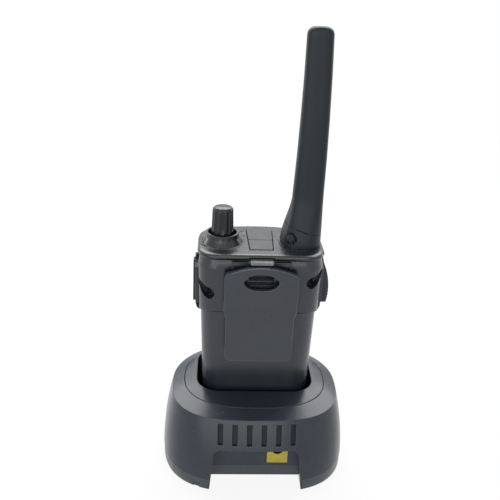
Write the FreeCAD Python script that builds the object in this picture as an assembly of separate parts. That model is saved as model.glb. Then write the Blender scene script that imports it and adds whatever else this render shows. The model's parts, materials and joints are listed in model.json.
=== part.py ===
import FreeCAD, Part

import math
import os

# Two way radio standing in its drop-in charger cradle.  Millimetres, +Z up.
# The origin is the centre of the cradle's footprint on the table.  +Y is the
# rear, where the belt clip and the power inlet are; the knob is on the +X side.

# ---- fits and walls -------------------------------------------------------
GAP = 0.3                       # between pieces of different bodies
SEAM = 0.15                     # open line where two mouldings meet
RUNNING = 0.06                  # radial clearance of a shaft in its hole
WALL = 2.0                      # moulded wall
FAR = 400.0                     # longer than the whole object

# ---- cradle ---------------------------------------------------------------
FOOT_HEIGHT = 0.6
FOOT_RADIUS = 5.0
FOOT_X = 27.0
FOOT_Y = 20.0
BASE_HALF_X = 48.2
BASE_HALF_Y = 47.2
BASE_POWER = 2.95
BASE_FAR_POWER = 2.3            # the half away from the recess is rounder
EDGE_HALF_X = 43.5
EDGE_HALF_Y = 37.2
EDGE_POWER = 3.0
EDGE_FAR_POWER = 2.05
EDGE_Z = 37.7
LIP_HALF_X = 37.5
LIP_HALF_Y = 29.2
LIP_POWER = 2.5
LIP_Z = 39.4
WALL_BOW_X = 2.2                # how late the side wall leans in as it rises
WALL_BOW_Y = 1.5
TRAY_TOP_Z = 6.7
TRAY_REVEAL = 0.3
TRAY_FLOOR = 1.8
TRAY_EDGE = 1.0
TRAY_HEEL = 1.6                 # rounding of its two feet beside the recess
PRY_X = 29.5                    # slot for a blade under the tray's rear edge
PRY_WIDTH = 2.6
PRY_HEIGHT = 1.4
ROOF = 2.6
VENT_COUNT = 6
VENT_PITCH = 7.26
VENT_WIDTH = 2.5
VENT_BOTTOM_Z = 25.5
VENT_HEIGHT = 10.1
VENT_DEPTH = 1.6

# ---- pocket that the radio stands in --------------------------------------
POCKET_PLAY = 1.9
POCKET_LEVEL = 0.55             # where up the body its width sets the pocket's
POCKET_WALL = 1.8
POCKET_RIM_Z = 40.2
POCKET_RIM_BAND = 1.4
POCKET_FLOOR = 2.0

# ---- power inlet ----------------------------------------------------------
RECESS_WALL_Y = 32.9
RECESS_TOP_Z = 22.9
RECESS_TOP_HALF = 21.0
RECESS_FOOT_HALF = 23.3
RECESS_CORNER = 3.0
INLET_X = -11.6
INLET_Z = 17.0
INLET_RADIUS = 3.0
INLET_PIN_RADIUS = 1.0
INLET_DEPTH = 9.5
INLET_BODY_HALF = 4.5
LABEL_HALF = 5.3
LABEL_BOTTOM_Z = 8.6
LABEL_TOP_Z = 20.6
LABEL_THICKNESS = 0.15
BOARD_THICKNESS = 1.6
BOARD_HALF_X = 27.0

# ---- charging contacts ----------------------------------------------------
CONTACT_X = 8.0
CONTACT_INSET = 7.0             # from the radio's front face
CONTACT_RADIUS = 2.2
PIN_RADIUS = 1.2
PIN_TRAVEL = 0.8

# ---- radio body -----------------------------------------------------------
BODY_BOTTOM_Z = 9.0
BODY_REAR_Y = 13.15
BODY_DEPTH = 37.4
BODY_CORNER = 9.5
BODY_HALF_BOTTOM = 27.2
BODY_HALF_SEAM = 29.75
BODY_CHAMFER = 1.8
SEAM_Z = 85.4                   # at the rear face
SEAM_TILT = 0.3                 # fall of the seam per millimetre towards the front
UPPER_HALF_LOW = 30.3
UPPER_HALF_HIGH = 31.1
UPPER_PROUD = 0.5
NECK = 0.8                      # the upper body draws in below the brow
NECK_HEIGHT = 4.5
COVER_BOTTOM_Z = 113.6
COVER_LIP = 0.9
TOP_Z = 117.0
TOP_EASE = 1.9
BROW_SECTIONS = 6
DECK_POWER = 2.2                # roundness of the deck's front edge
SPLIT_INSET = 12.5              # front housing depth

# ---- front face -----------------------------------------------------------
WINDOW_HALF_X = 15.5
WINDOW_HALF_Z = 9.0
WINDOW_Z = 94.0
WINDOW_CORNER = 3.0
WINDOW_THICKNESS = 1.2
KEY_Z = 77.5
KEY_PITCH = 11.0
KEY_COUNT = 4
KEY_HALF_X = 4.2
KEY_HALF_Z = 3.0
KEY_PROUD = 0.9
KEY_TRAVEL = 0.6
GRILLE_Z = 58.0
GRILLE_SLOTS = 7
GRILLE_PITCH = 3.6
GRILLE_HALF_X = 13.0
GRILLE_SLOT = 1.6
SPEAKER_RADIUS = 14.5
SPEAKER_DEPTH = 6.0
MIC_RADIUS = 3.0
MIC_X = -18.0

# ---- battery --------------------------------------------------------------
CELL_COUNT = 3
CELL_RADIUS = 7.2
CELL_LENGTH = 49.5
CELL_BOTTOM_Z = 16.0

# ---- knob -----------------------------------------------------------------
KNOB_X = 19.25
KNOB_Y = -2.9
KNOB_TOP_Z = 135.6
KNOB_RADIUS_TOP = 5.15
KNOB_RADIUS_FOOT = 5.55
KNOB_FLUTES = 10
KNOB_FLUTE_RADIUS = 0.9
KNOB_TURN_SHAFT = 3.0
COLLAR_TOP_Z = 122.25
COLLAR_RADIUS = 8.2
COLLAR_WALL = 1.1
COLLAR_FOOT_RADIUS = 10.1
MARK_X = 8.7                    # two engraved index marks beside the collar
MARK_LENGTH = 2.2
MARK_WIDTH = 0.5
MARK_DEPTH = 0.3
MARK_FIRST_Y = -16.6
MARK_SECOND_Y = -10.0

# ---- jack cover -----------------------------------------------------------
JACK_COVER_REAR_Y = 7.4
JACK_COVER_CREASE_Y = -4.8
JACK_COVER_WIDE_Y = -16.4
JACK_COVER_FRONT_Y = -23.0
JACK_COVER_HALF_REAR = 5.6
JACK_COVER_HALF_WIDE = 6.5
JACK_COVER_THICKNESS = 1.3
JACK_COVER_PROUD = 0.25
JACK_LARGE_RADIUS = 1.8
JACK_SMALL_RADIUS = 1.3
JACK_LARGE_Y = -10.5
JACK_SMALL_Y = -17.5
JACK_DEPTH = 12.0

# ---- antenna --------------------------------------------------------------
BOOT_X = -20.1
BOOT_Y = -5.0
BOOT_HALF_X = 10.1
BOOT_HALF_Y = 12.0
BOOT_INNER_Z = 127.9            # boot and blade meet on a slant
BOOT_OUTER_Z = 122.9
BLADE_WAIST_Z = 142.0
BLADE_WAIST_X = -22.4
BLADE_WAIST_HALF_X = 7.6
BLADE_WAIST_HALF_Y = 5.2
BLADE_MIDDLE_X = -23.0
BLADE_TIP_Z = 221.2
BLADE_TIP_X = -22.5
BLADE_TIP_HALF_X = 6.1
BLADE_TIP_HALF_Y = 3.5
BLADE_TIP_ROUND = 3.6
BLADE_POWER = 3.0
ANTENNA_CORE_RADIUS = 1.6
ANTENNA_SCREW_X = -14.2
ANTENNA_SCREW_Z = 121.8
ANTENNA_SCREW_RADIUS = 1.9
ANTENNA_SCREW_WELL = 2.8
ANTENNA_SCREW_SINK = 2.4
SEAT_MARGIN = 0.9               # raised rings on the deck round boot and collar
SEAT_HEIGHT = 0.4

# ---- side controls --------------------------------------------------------
SIDE_Y = -3.5
SIDE_HALF_Y = 5.2
SIDE_BOTTOM_Z = 82.6
SIDE_TOP_Z = 108.8
SIDE_FRAME = 1.3
SIDE_FLANGE_HALF_Y = 6.2        # outer lip of both side frames
SIDE_FLANGE_BOTTOM_Z = 79.2
SIDE_FLANGE_TOP_Z = 109.6
SIDE_PANEL_PROUD = 1.9
SIDE_KEY_PROUD = 2.8
SIDE_KEY_COUNT = 2
SIDE_KEY_TRAVEL = 0.6
TALK_PLATE_PROUD = 1.7
TALK_PROUD = 5.2                # at the crest of its dome
TALK_FOOT_PROUD = 4.4
TALK_TOP_PROUD = 2.1
TALK_CREST_Z = 95.5
TALK_TRAVEL = 1.0
TALK_RIBS = 9
TALK_RIB = 0.35
SWITCH_BOARD = 1.2
SWITCH_HEIGHT = 1.0

# ---- belt clip ------------------------------------------------------------
CLIP_FACE_Y = 19.5
CLIP_THICKNESS = 2.0
CLIP_HALF_TOP = 18.0
CLIP_HALF_FOOT = 16.9
CLIP_STEP_HIGH_Z = 89.0
CLIP_STEP_LOW_Z = 84.3
CLIP_SIDE_TOP_Z = 109.4
CLIP_TOP_Z = 112.4
CLIP_BOTTOM_Z = 61.0
CLIP_CORNER = 3.0
CLIP_HOLE_Z = 104.6
CLIP_HOLE_HALF_X = 8.6
CLIP_HOLE_HALF_Z = 4.2
CLIP_PIN_Z = 98.4
CLIP_PIN_Y = 16.0
CLIP_PIN_RADIUS = 0.8
CLIP_LUG_RADIUS = 1.6
CLIP_LUG_X = 5.5
CLIP_LUG_WIDTH = 3.0
CLIP_CURL = 2.4
CLIP_RIM = 0.9                  # how far the top edge turns in
CLIP_RIM_HEIGHT = 1.6
BRACKET_HALF_X = 14.6
BRACKET_BOTTOM_Z = 91.0
BRACKET_PLATE = 1.4
BRACKET_EAR_WIDTH = 1.8
BRACKET_WINDOW_HALF_X = 2.6
BRACKET_WINDOW_HALF_Z = 1.9
BRACKET_RAIL = 1.2              # strip round each window
BRACKET_THROAT_BOTTOM_Z = 100.9
WELL_HALF_X = 6.2               # finger well in the housing behind the clip's hole
WELL_TOP_Z = 108.2
WELL_DEPTH = 3.4
WELL_WALL = 1.4
LATCH_HALF_X = 5.5
LATCH_TOP_Z = 114.6
LATCH_BOTTOM_Z = 112.75
LATCH_CLIP_GAP = 0.5
LATCH_TRAVEL = 0.8
LATCH_NOTCH = 1.2
LATCH_SIDE = 0.7

# ---- strap recesses in the rear corners -----------------------------------
STRAP_DEPTH = 4.0
STRAP_WALL = 1.0
STRAP_LOW_X = 22.6              # blunt lower end, towards the middle
STRAP_HIGH_X = 31.0             # pointed upper end, past the side
STRAP_LEFT_Z = 92.2
STRAP_RIGHT_Z = 98.7
STRAP_HEIGHT = 9.0
STRAP_REAR_DEPTH = 9.0          # how far round the corner the leaf reaches

# ---- sizes that follow from the ones above --------------------------------
UP = FreeCAD.Vector(0, 0, 1)
RIGHT = FreeCAD.Vector(1, 0, 0)
REARWARD = FreeCAD.Vector(0, 1, 0)

BODY_HALF_Y = BODY_DEPTH / 2
BODY_Y = BODY_REAR_Y - BODY_HALF_Y
BODY_FRONT_Y = BODY_REAR_Y - BODY_DEPTH
SPLIT_Y = BODY_FRONT_Y + SPLIT_INSET
UPPER_REAR_Y = BODY_REAR_Y + UPPER_PROUD
UPPER_HALF_Y = BODY_HALF_Y + UPPER_PROUD

POCKET_HALF_X = BODY_HALF_BOTTOM + (BODY_HALF_SEAM - BODY_HALF_BOTTOM) * POCKET_LEVEL + POCKET_PLAY
POCKET_HALF_Y = BODY_HALF_Y + POCKET_PLAY
POCKET_CORNER = BODY_CORNER + POCKET_PLAY
POCKET_FLOOR_Z = BODY_BOTTOM_Z - GAP
POCKET_UNDER_Z = POCKET_FLOOR_Z - POCKET_FLOOR
TRAY_FLOOR_Z = FOOT_HEIGHT + TRAY_FLOOR
SURROUND_HALF = RECESS_FOOT_HALF + WALL
SURROUND_Y = RECESS_WALL_Y - WALL
BOARD_BACK_Y = SURROUND_Y - SEAM
BOARD_FRONT_Y = BODY_Y + POCKET_HALF_Y + POCKET_WALL + 1.0
INLET_BODY_BOTTOM_Z = INLET_Z - INLET_BODY_HALF
BOARD_TOP_Z = INLET_BODY_BOTTOM_Z
BOARD_BOTTOM_Z = BOARD_TOP_Z - BOARD_THICKNESS
CONTACT_Y = BODY_FRONT_Y + CONTACT_INSET
SCREW_POST = 31.0


# ---- shapes used all over -------------------------------------------------
def vector(x, y, z):
    return FreeCAD.Vector(x, y, z)


def superellipse(half_x, half_y, power, z, centre_x=0.0, centre_y=0.0, far_power=None):
    """A closed, smooth outline at height z, squarer as the power grows; its -Y half may have its own."""
    points = []
    count = 40
    for step in range(count):
        turn = 2 * math.pi * step / count
        cosine = math.cos(turn)
        sine = math.sin(turn)
        squareness = power if far_power is None or sine >= 0 else far_power
        x = math.copysign(abs(cosine) ** (2 / squareness), cosine) * half_x
        y = math.copysign(abs(sine) ** (2 / squareness), sine) * half_y
        points.append(vector(centre_x + x, centre_y + y, z))
    curve = Part.BSplineCurve()
    curve.interpolate(Points=points, PeriodicFlag=True)
    return Part.Wire([curve.toShape()])


def rounded(half_x, half_y, radius, z, centre_x=0.0, centre_y=0.0):
    """A rounded rectangle at height z, as four lines and four arcs."""
    radius = min(radius, half_x - 0.01, half_y - 0.01)
    edges = []
    bend = radius * math.sqrt(0.5)
    for quarter in range(4):
        turn = math.radians(90 * quarter)
        sign_x = (1, -1, -1, 1)[quarter]
        sign_y = (1, 1, -1, -1)[quarter]
        centre = vector(centre_x + sign_x * (half_x - radius), centre_y + sign_y * (half_y - radius), z)
        start = centre + vector(math.cos(turn), math.sin(turn), 0) * radius
        middle = centre + vector(sign_x, sign_y, 0) * bend
        end = centre + vector(-math.sin(turn), math.cos(turn), 0) * radius
        edges.append((start, middle, end))
    pieces = []
    for quarter in range(4):
        start, middle, end = edges[quarter]
        pieces.append(Part.Arc(start, middle, end).toShape())
        pieces.append(Part.makeLine(end, edges[(quarter + 1) % 4][0]))
    return Part.Wire(pieces)


def loft(wires, ruled=True):
    return Part.makeLoft(wires, True, ruled)


def prism(wire, height):
    return Part.Face(wire).extrude(vector(0, 0, height))


def block(low, high):
    """A box from its lowest to its highest corner."""
    size = [b - a for a, b in zip(low, high)]
    return Part.makeBox(size[0], size[1], size[2], vector(*low))


def rod(radius, foot, direction, length):
    return Part.makeCylinder(radius, length, vector(*foot), direction)


def tube(outer, inner, foot, direction, length):
    return rod(outer, foot, direction, length).cut(rod(inner, foot, direction, length))


def plate_in_xz(wire_points, y, thickness):
    """A flat plate that faces +Y, from its outline's edges in the XZ plane."""
    return Part.Face(Part.Wire(wire_points)).extrude(vector(0, thickness, 0))


def upright_outline(half_x, half_z, radius, y, centre_x, centre_z):
    """A rounded rectangle that stands in the XZ plane."""
    wire = rounded(half_x, half_z, radius, 0)
    wire.rotate(vector(0, 0, 0), RIGHT, 90)
    wire.translate(vector(centre_x, y, centre_z))
    return wire


def upright_prism(half_x, half_z, radius, y, depth, centre_x, centre_z):
    wire = upright_outline(half_x, half_z, radius, y, centre_x, centre_z)
    return Part.Face(wire).extrude(vector(0, depth, 0))


def group(shapes):
    """Identical pieces that share one node."""
    return Part.makeCompound(shapes)


# ---- cradle ---------------------------------------------------------------
def cradle_outline(z, inset=0.0):
    """The cradle's outside at height z, drawn in by the inset."""
    rise = max(0.0, z / EDGE_Z)
    half_x = BASE_HALF_X - (BASE_HALF_X - EDGE_HALF_X) * rise ** WALL_BOW_X
    half_y = BASE_HALF_Y - (BASE_HALF_Y - EDGE_HALF_Y) * rise ** WALL_BOW_Y
    power = BASE_POWER + (EDGE_POWER - BASE_POWER) * rise
    far_power = BASE_FAR_POWER + (EDGE_FAR_POWER - BASE_FAR_POWER) * rise
    return superellipse(half_x - inset, half_y - inset, power, z, far_power=far_power)


def wall_solid(bottom_z, top_z, inset):
    """The cradle's outer form between two heights, drawn in by the inset."""
    outlines = []
    sections = 5
    for step in range(sections):
        z = bottom_z + (top_z - bottom_z) * step / (sections - 1)
        outlines.append(cradle_outline(z, inset))
    return loft(outlines, ruled=False)


def recess_half(z):
    """Half width of the rear recess, which narrows a little upwards."""
    return RECESS_FOOT_HALF - (RECESS_FOOT_HALF - RECESS_TOP_HALF) * z / RECESS_TOP_Z


def recess_void():
    """The cut at the rear where the power plug and its lead go."""
    bottom = -1.0
    low_half = recess_half(bottom)
    side_half = recess_half(RECESS_TOP_Z - RECESS_CORNER)
    bend = RECESS_CORNER * (1 - math.sqrt(0.5))
    top = RECESS_TOP_Z
    y = RECESS_WALL_Y
    right_arc = Part.Arc(vector(side_half, y, top - RECESS_CORNER), vector(RECESS_TOP_HALF - bend, y, top - bend),
                         vector(RECESS_TOP_HALF - RECESS_CORNER, y, top))
    left_arc = Part.Arc(vector(RECESS_CORNER - RECESS_TOP_HALF, y, top), vector(bend - RECESS_TOP_HALF, y, top - bend),
                        vector(-side_half, y, top - RECESS_CORNER))
    edges = [
        Part.makeLine(vector(-low_half, y, bottom), vector(low_half, y, bottom)),
        Part.makeLine(vector(low_half, y, bottom), vector(side_half, y, top - RECESS_CORNER)),
        right_arc.toShape(),
        Part.makeLine(vector(RECESS_TOP_HALF - RECESS_CORNER, y, top), vector(RECESS_CORNER - RECESS_TOP_HALF, y, top)),
        left_arc.toShape(),
        Part.makeLine(vector(-side_half, y, top - RECESS_CORNER), vector(-low_half, y, bottom)),
    ]
    return plate_in_xz(edges, y, BASE_HALF_Y)


def recess_surround(margin=0.0):
    """The space that the recess and its own walls take up."""
    half = SURROUND_HALF + margin
    return block((-half, SURROUND_Y - margin, -1.0), (half, FAR, RECESS_TOP_Z + WALL + margin))


def pocket_tube(margin, bottom_z, top_z):
    wire = rounded(POCKET_HALF_X + margin, POCKET_HALF_Y + margin, POCKET_CORNER + margin, bottom_z, 0, BODY_Y)
    return prism(wire, top_z - bottom_z)


def screw_places():
    return [(x, y) for x in (-SCREW_POST, SCREW_POST) for y in (-SCREW_POST, SCREW_POST)]


def cradle_upper_shell():
    """The outer wall, the sloping ring round the top and the rear recess."""
    outside = wall_solid(FOOT_HEIGHT, EDGE_Z, 0)
    ring = loft([cradle_outline(EDGE_Z), superellipse(LIP_HALF_X, LIP_HALF_Y, LIP_POWER, LIP_Z)])
    above_tray = block((-FAR, -FAR, TRAY_TOP_Z + SEAM), (FAR, FAR, FAR))
    shell = outside.common(above_tray).fuse(ring)
    cavity = wall_solid(FOOT_HEIGHT - 1.0, EDGE_Z - ROOF, WALL).cut(recess_surround())
    shell = shell.cut(cavity).cut(recess_void())
    seat_z = LIP_Z - POCKET_FLOOR
    seat = prism(superellipse(LIP_HALF_X, LIP_HALF_Y, LIP_POWER, seat_z), FAR)
    shell = shell.cut(seat).cut(pocket_tube(POCKET_WALL + SEAM, 0, FAR))
    middle_of_wall = wall_solid(FOOT_HEIGHT, EDGE_Z, WALL / 2)
    for x, y in screw_places():
        post = rod(3.2, (x, y, TRAY_TOP_Z), UP, EDGE_Z - ROOF - TRAY_TOP_Z + 0.5)
        shell = shell.fuse(post.common(middle_of_wall).cut(rod(1.3, (x, y, TRAY_TOP_Z), UP, 14.0)))
    for slot in vent_slots():
        shell = shell.cut(slot)
    shell = shell.cut(rod(INLET_RADIUS, (INLET_X, SURROUND_Y - 1, INLET_Z), REARWARD, 2 * WALL))
    return shell.cut(rod(1.5 + SEAM, (0, lamp_y(), LIP_Z - 2 * ROOF), UP, FAR))


def vent_slots():
    """The row of blind slots moulded in the rear wall."""
    floor = wall_solid(FOOT_HEIGHT, EDGE_Z, VENT_DEPTH)
    first = -VENT_PITCH * (VENT_COUNT - 1) / 2
    slots = []
    for number in range(VENT_COUNT):
        x = first + number * VENT_PITCH
        slot = block((x - VENT_WIDTH / 2, RECESS_WALL_Y, VENT_BOTTOM_Z),
                     (x + VENT_WIDTH / 2, BASE_HALF_Y, VENT_BOTTOM_Z + VENT_HEIGHT))
        slots.append(slot.cut(floor))
    return slots


def lamp_y():
    """The charge lamp sits in the middle of the ring's front."""
    return -(EDGE_HALF_Y + LIP_HALF_Y) / 2


def charge_lamp():
    """A clear light pipe through the ring, cut off flush with the slope."""
    pipe = rod(1.5, (0, lamp_y(), EDGE_Z - ROOF - 1.0), UP, FAR)
    slope = loft([cradle_outline(0), cradle_outline(EDGE_Z), superellipse(LIP_HALF_X, LIP_HALF_Y, LIP_POWER, LIP_Z)])
    flange = rod(2.4, (0, lamp_y(), EDGE_Z - ROOF - 1.0), UP, 1.0)
    return pipe.common(slope).fuse(flange)


def pocket_liner():
    """The drop-in cup that holds the radio, with its raised rim."""
    seat_z = LIP_Z - POCKET_FLOOR
    half_x = LIP_HALF_X - SEAM
    half_y = LIP_HALF_Y - SEAM
    rim_x = POCKET_HALF_X + POCKET_RIM_BAND
    rim_y = POCKET_HALF_Y + POCKET_RIM_BAND
    deck = loft([superellipse(half_x, half_y, LIP_POWER, seat_z),
                 superellipse(half_x, half_y, LIP_POWER, LIP_Z),
                 superellipse(rim_x, rim_y, 4.0, POCKET_RIM_Z, 0, BODY_Y)])
    cup = deck.fuse(pocket_tube(POCKET_WALL, POCKET_UNDER_Z, LIP_Z))
    cup = cup.cut(pocket_tube(0, POCKET_FLOOR_Z, FAR))
    for x in (-CONTACT_X, CONTACT_X):
        cup = cup.cut(rod(PIN_RADIUS + RUNNING, (x, CONTACT_Y, 0), UP, POCKET_RIM_Z))
    return cup


def cradle_base_tray():
    """The bottom pan with bosses for the board and the four screws."""
    outlines = []
    for z, inset in ((FOOT_HEIGHT, TRAY_REVEAL + TRAY_EDGE), (FOOT_HEIGHT + TRAY_EDGE, TRAY_REVEAL),
                     (TRAY_TOP_Z, TRAY_REVEAL)):
        outlines.append(cradle_outline(z, inset))
    tray = loft(outlines)
    pan = cradle_outline(TRAY_TOP_Z, TRAY_REVEAL + WALL)
    pan.translate(vector(0, 0, TRAY_FLOOR_Z - TRAY_TOP_Z))
    tray = tray.cut(prism(pan, FAR).cut(recess_surround())).cut(recess_void())
    for side in (-1, 1):
        tray = tray.cut(heel_cut(side))
    tray = tray.cut(block((PRY_X - PRY_WIDTH / 2, RECESS_WALL_Y + WALL, 0),
                          (PRY_X + PRY_WIDTH / 2, FAR, FOOT_HEIGHT + PRY_HEIGHT)))
    for x in (-BOARD_HALF_X + 3.0, BOARD_HALF_X - 3.0):
        for y in (BOARD_FRONT_Y + 3.0, BOARD_BACK_Y - 3.0):
            tray = tray.fuse(rod(2.0, (x, y, FOOT_HEIGHT + 0.5), UP, BOARD_BOTTOM_Z - FOOT_HEIGHT - 0.5))
    for x, y in screw_places():
        tray = tray.fuse(rod(3.6, (x, y, FOOT_HEIGHT + 0.5), UP, TRAY_TOP_Z - FOOT_HEIGHT - 0.5))
        tray = tray.cut(rod(1.7, (x, y, 0), UP, FAR))
        tray = tray.cut(rod(3.0, (x, y, 0), UP, FOOT_HEIGHT + 2.4))
    for x, y in foot_places():
        tray = tray.cut(rod(FOOT_RADIUS + SEAM, (x, y, 0), UP, FOOT_HEIGHT + 0.5))
    return tray


def heel_cut(side):
    """Rounds the lower edge of the tray where the recess ends it."""
    level = FOOT_HEIGHT + TRAY_HEEL
    half = recess_half(level)
    ends = sorted((side * (half - 0.5), side * (half + TRAY_HEEL)))
    corner = block((ends[0], RECESS_WALL_Y, 0), (ends[1], BASE_HALF_Y, level))
    return corner.cut(rod(TRAY_HEEL, (side * (half + TRAY_HEEL), 0, level), REARWARD, FAR))


def foot_places():
    return [(x, y) for x in (-FOOT_X, FOOT_X) for y in (-FOOT_Y, FOOT_Y)]


def cradle_feet():
    return group([rod(FOOT_RADIUS, (x, y, 0), UP, FOOT_HEIGHT + 0.5) for x, y in foot_places()])


def cradle_screws():
    """Four screws that hold the tray to the posts of the upper shell."""
    screws = []
    for x, y in screw_places():
        head = rod(2.8, (x, y, FOOT_HEIGHT + 0.4), UP, 2.0)
        head = head.cut(block((x - 1.8, y - 0.4, 0), (x + 1.8, y + 0.4, FOOT_HEIGHT + 1.2)))
        screws.append(head.fuse(rod(1.3, (x, y, FOOT_HEIGHT + 1.5), UP, TRAY_TOP_Z + 8.0)))
    return group(screws)


def charger_board():
    return block((-BOARD_HALF_X, BOARD_FRONT_Y, BOARD_BOTTOM_Z), (BOARD_HALF_X, BOARD_BACK_Y, BOARD_TOP_Z))


def power_inlet():
    """The barrel socket on the board, face to face with the recess wall."""
    low = (INLET_X - INLET_BODY_HALF, SURROUND_Y - INLET_DEPTH - WALL, BOARD_TOP_Z)
    high = (INLET_X + INLET_BODY_HALF, SURROUND_Y, INLET_Z + INLET_BODY_HALF)
    mouth = (INLET_X, SURROUND_Y - INLET_DEPTH, INLET_Z)
    body = block(low, high).cut(rod(INLET_RADIUS, mouth, REARWARD, FAR))
    return body.fuse(rod(INLET_PIN_RADIUS, (mouth[0], mouth[1] - 1.0, mouth[2]), REARWARD, INLET_DEPTH))


def inlet_label():
    """The plain coloured sticker round the inlet."""
    label = block((INLET_X - LABEL_HALF, RECESS_WALL_Y, LABEL_BOTTOM_Z),
                  (INLET_X + LABEL_HALF, RECESS_WALL_Y + LABEL_THICKNESS, LABEL_TOP_Z))
    return label.cut(rod(INLET_RADIUS, (INLET_X, 0, INLET_Z), REARWARD, FAR))


def contact_block():
    """Holds the two sprung pins under the pocket's floor."""
    body = block((-CONTACT_X - 4.0, CONTACT_Y - 4.0, TRAY_FLOOR_Z), (CONTACT_X + 4.0, CONTACT_Y + 4.0, POCKET_UNDER_Z))
    for x in (-CONTACT_X, CONTACT_X):
        body = body.cut(rod(PIN_RADIUS + RUNNING, (x, CONTACT_Y, TRAY_FLOOR_Z + 0.8), UP, FAR))
    return body


def charge_pin(x):
    foot_z = TRAY_FLOOR_Z + 0.8 + PIN_TRAVEL + GAP
    top_z = BODY_BOTTOM_Z - 0.05
    pin = rod(PIN_RADIUS, (x, CONTACT_Y, foot_z), UP, top_z - foot_z - PIN_RADIUS)
    nose = Part.makeSphere(PIN_RADIUS, vector(x, CONTACT_Y, top_z - PIN_RADIUS))
    return pin.fuse(nose)


# ---- radio housings -------------------------------------------------------
def body_half(z):
    """Half width of the lower body, which widens a little upwards."""
    share = (z - BODY_BOTTOM_Z) / (SEAM_Z - BODY_BOTTOM_Z)
    return BODY_HALF_BOTTOM + (BODY_HALF_SEAM - BODY_HALF_BOTTOM) * share


def upper_half(z):
    share = (z - SEAM_Z) / (COVER_BOTTOM_Z - SEAM_Z)
    return UPPER_HALF_LOW + (UPPER_HALF_HIGH - UPPER_HALF_LOW) * share


def body_outline(half_x, half_y, z, inset):
    return rounded(half_x - inset, half_y - inset, BODY_CORNER - inset, z, 0, BODY_Y)


def lower_solid(inset):
    """The body below the seam, or its inside when there is an inset."""
    bottom = BODY_BOTTOM_Z + inset
    eased = bottom + BODY_CHAMFER
    top = SEAM_Z + WALL
    return loft([body_outline(body_half(bottom) - BODY_CHAMFER, BODY_HALF_Y - BODY_CHAMFER, bottom, inset),
                 body_outline(body_half(eased), BODY_HALF_Y, eased, inset),
                 body_outline(body_half(top), BODY_HALF_Y, top, inset)])


def upper_solid(inset):
    """The wider body above the seam, necked in under the brow."""
    outlines = []
    bottom = SEAM_Z - BODY_DEPTH * SEAM_TILT - WALL
    for z, draw in ((bottom, 0.0), (COVER_BOTTOM_Z - NECK_HEIGHT, 0.0), (COVER_BOTTOM_Z - NECK_HEIGHT * 0.4, 0.7),
                    (COVER_BOTTOM_Z, 1.0)):
        outlines.append(body_outline(upper_half(z) - draw * NECK, UPPER_HALF_Y - draw * NECK, z, inset))
    return loft(outlines)


def above_seam(margin):
    """Everything above the slanting seam between the two rear mouldings."""
    space = block((-FAR, -FAR, 0), (FAR, FAR, FAR))
    space.rotate(vector(0, 0, 0), RIGHT, math.degrees(math.atan(SEAM_TILT)))
    space.translate(vector(0, BODY_REAR_Y, SEAM_Z + margin))
    return space


def behind_split(margin):
    return block((-FAR, SPLIT_Y + margin, -FAR), (FAR, FAR, FAR))


def side_prism(half_y, half_z, radius, x, depth, y, z):
    """A rounded rectangle in the YZ plane, drawn out along X."""
    wire = rounded(half_z, half_y, radius, 0)
    wire.rotate(vector(0, 0, 0), REARWARD, 90)
    wire.translate(vector(x, y, z))
    return Part.Face(wire).extrude(vector(depth, 0, 0))


def side_middle_z():
    return (SIDE_BOTTOM_Z + SIDE_TOP_Z) / 2


def side_half_z():
    return (SIDE_TOP_Z - SIDE_BOTTOM_Z) / 2


def side_opening():
    """The slots through both side walls that take the side controls."""
    return side_prism(SIDE_HALF_Y + SEAM, side_half_z() + SEAM, SIDE_HALF_Y - 1.0,
                      -FAR / 2, FAR, SIDE_Y, side_middle_z())


def strap_leaf(side, foot_z, margin):
    """A leaf seen from behind: blunt and low inwards, a point at the side."""
    width = STRAP_HIGH_X - STRAP_LOW_X
    grow_x = 1 + 2 * margin / width
    grow_z = 1 + 2 * margin / STRAP_HEIGHT
    points = []
    for along, up in ((0.0, 0.38), (0.12, 0.62), (0.5, 0.74), (1.0, 1.0),
                      (0.85, 0.5), (0.6, 0.13), (0.3, 0.0), (0.06, 0.14)):
        x = STRAP_LOW_X + width * (0.5 + (along - 0.5) * grow_x)
        z = foot_z + STRAP_HEIGHT * (0.5 + (up - 0.5) * grow_z)
        points.append(vector(side * x, UPPER_REAR_Y - STRAP_REAR_DEPTH - margin, z))
    curve = Part.BSplineCurve()
    curve.interpolate(Points=points, PeriodicFlag=True)
    return Part.Face(Part.Wire([curve.toShape()])).extrude(vector(0, 2 * STRAP_REAR_DEPTH, 0))


def with_strap_pocket(shell, side, foot_z):
    """Sinks a strap recess with its own lining into a rear corner."""
    floor = upper_solid(STRAP_DEPTH)
    lining = upper_solid(WALL - 0.5).cut(upper_solid(STRAP_DEPTH + STRAP_WALL))
    shell = shell.fuse(lining.common(strap_leaf(side, foot_z, STRAP_WALL)))
    return shell.cut(strap_leaf(side, foot_z, 0).cut(floor))


def front_screw_places():
    return [(x, z) for x in (-21.0, 21.0) for z in (BODY_BOTTOM_Z + 11.0, SEAM_Z + 3.0)]


def rear_screw_places():
    return [(x, BRACKET_BOTTOM_Z + 2.6) for x in (-10.0, 10.0)]


def board_front_y():
    return SPLIT_Y - 3.0


def board_rear_y():
    return board_front_y() + BOARD_THICKNESS


def grille_height(number):
    return GRILLE_Z + (number - (GRILLE_SLOTS - 1) / 2) * GRILLE_PITCH


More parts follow.
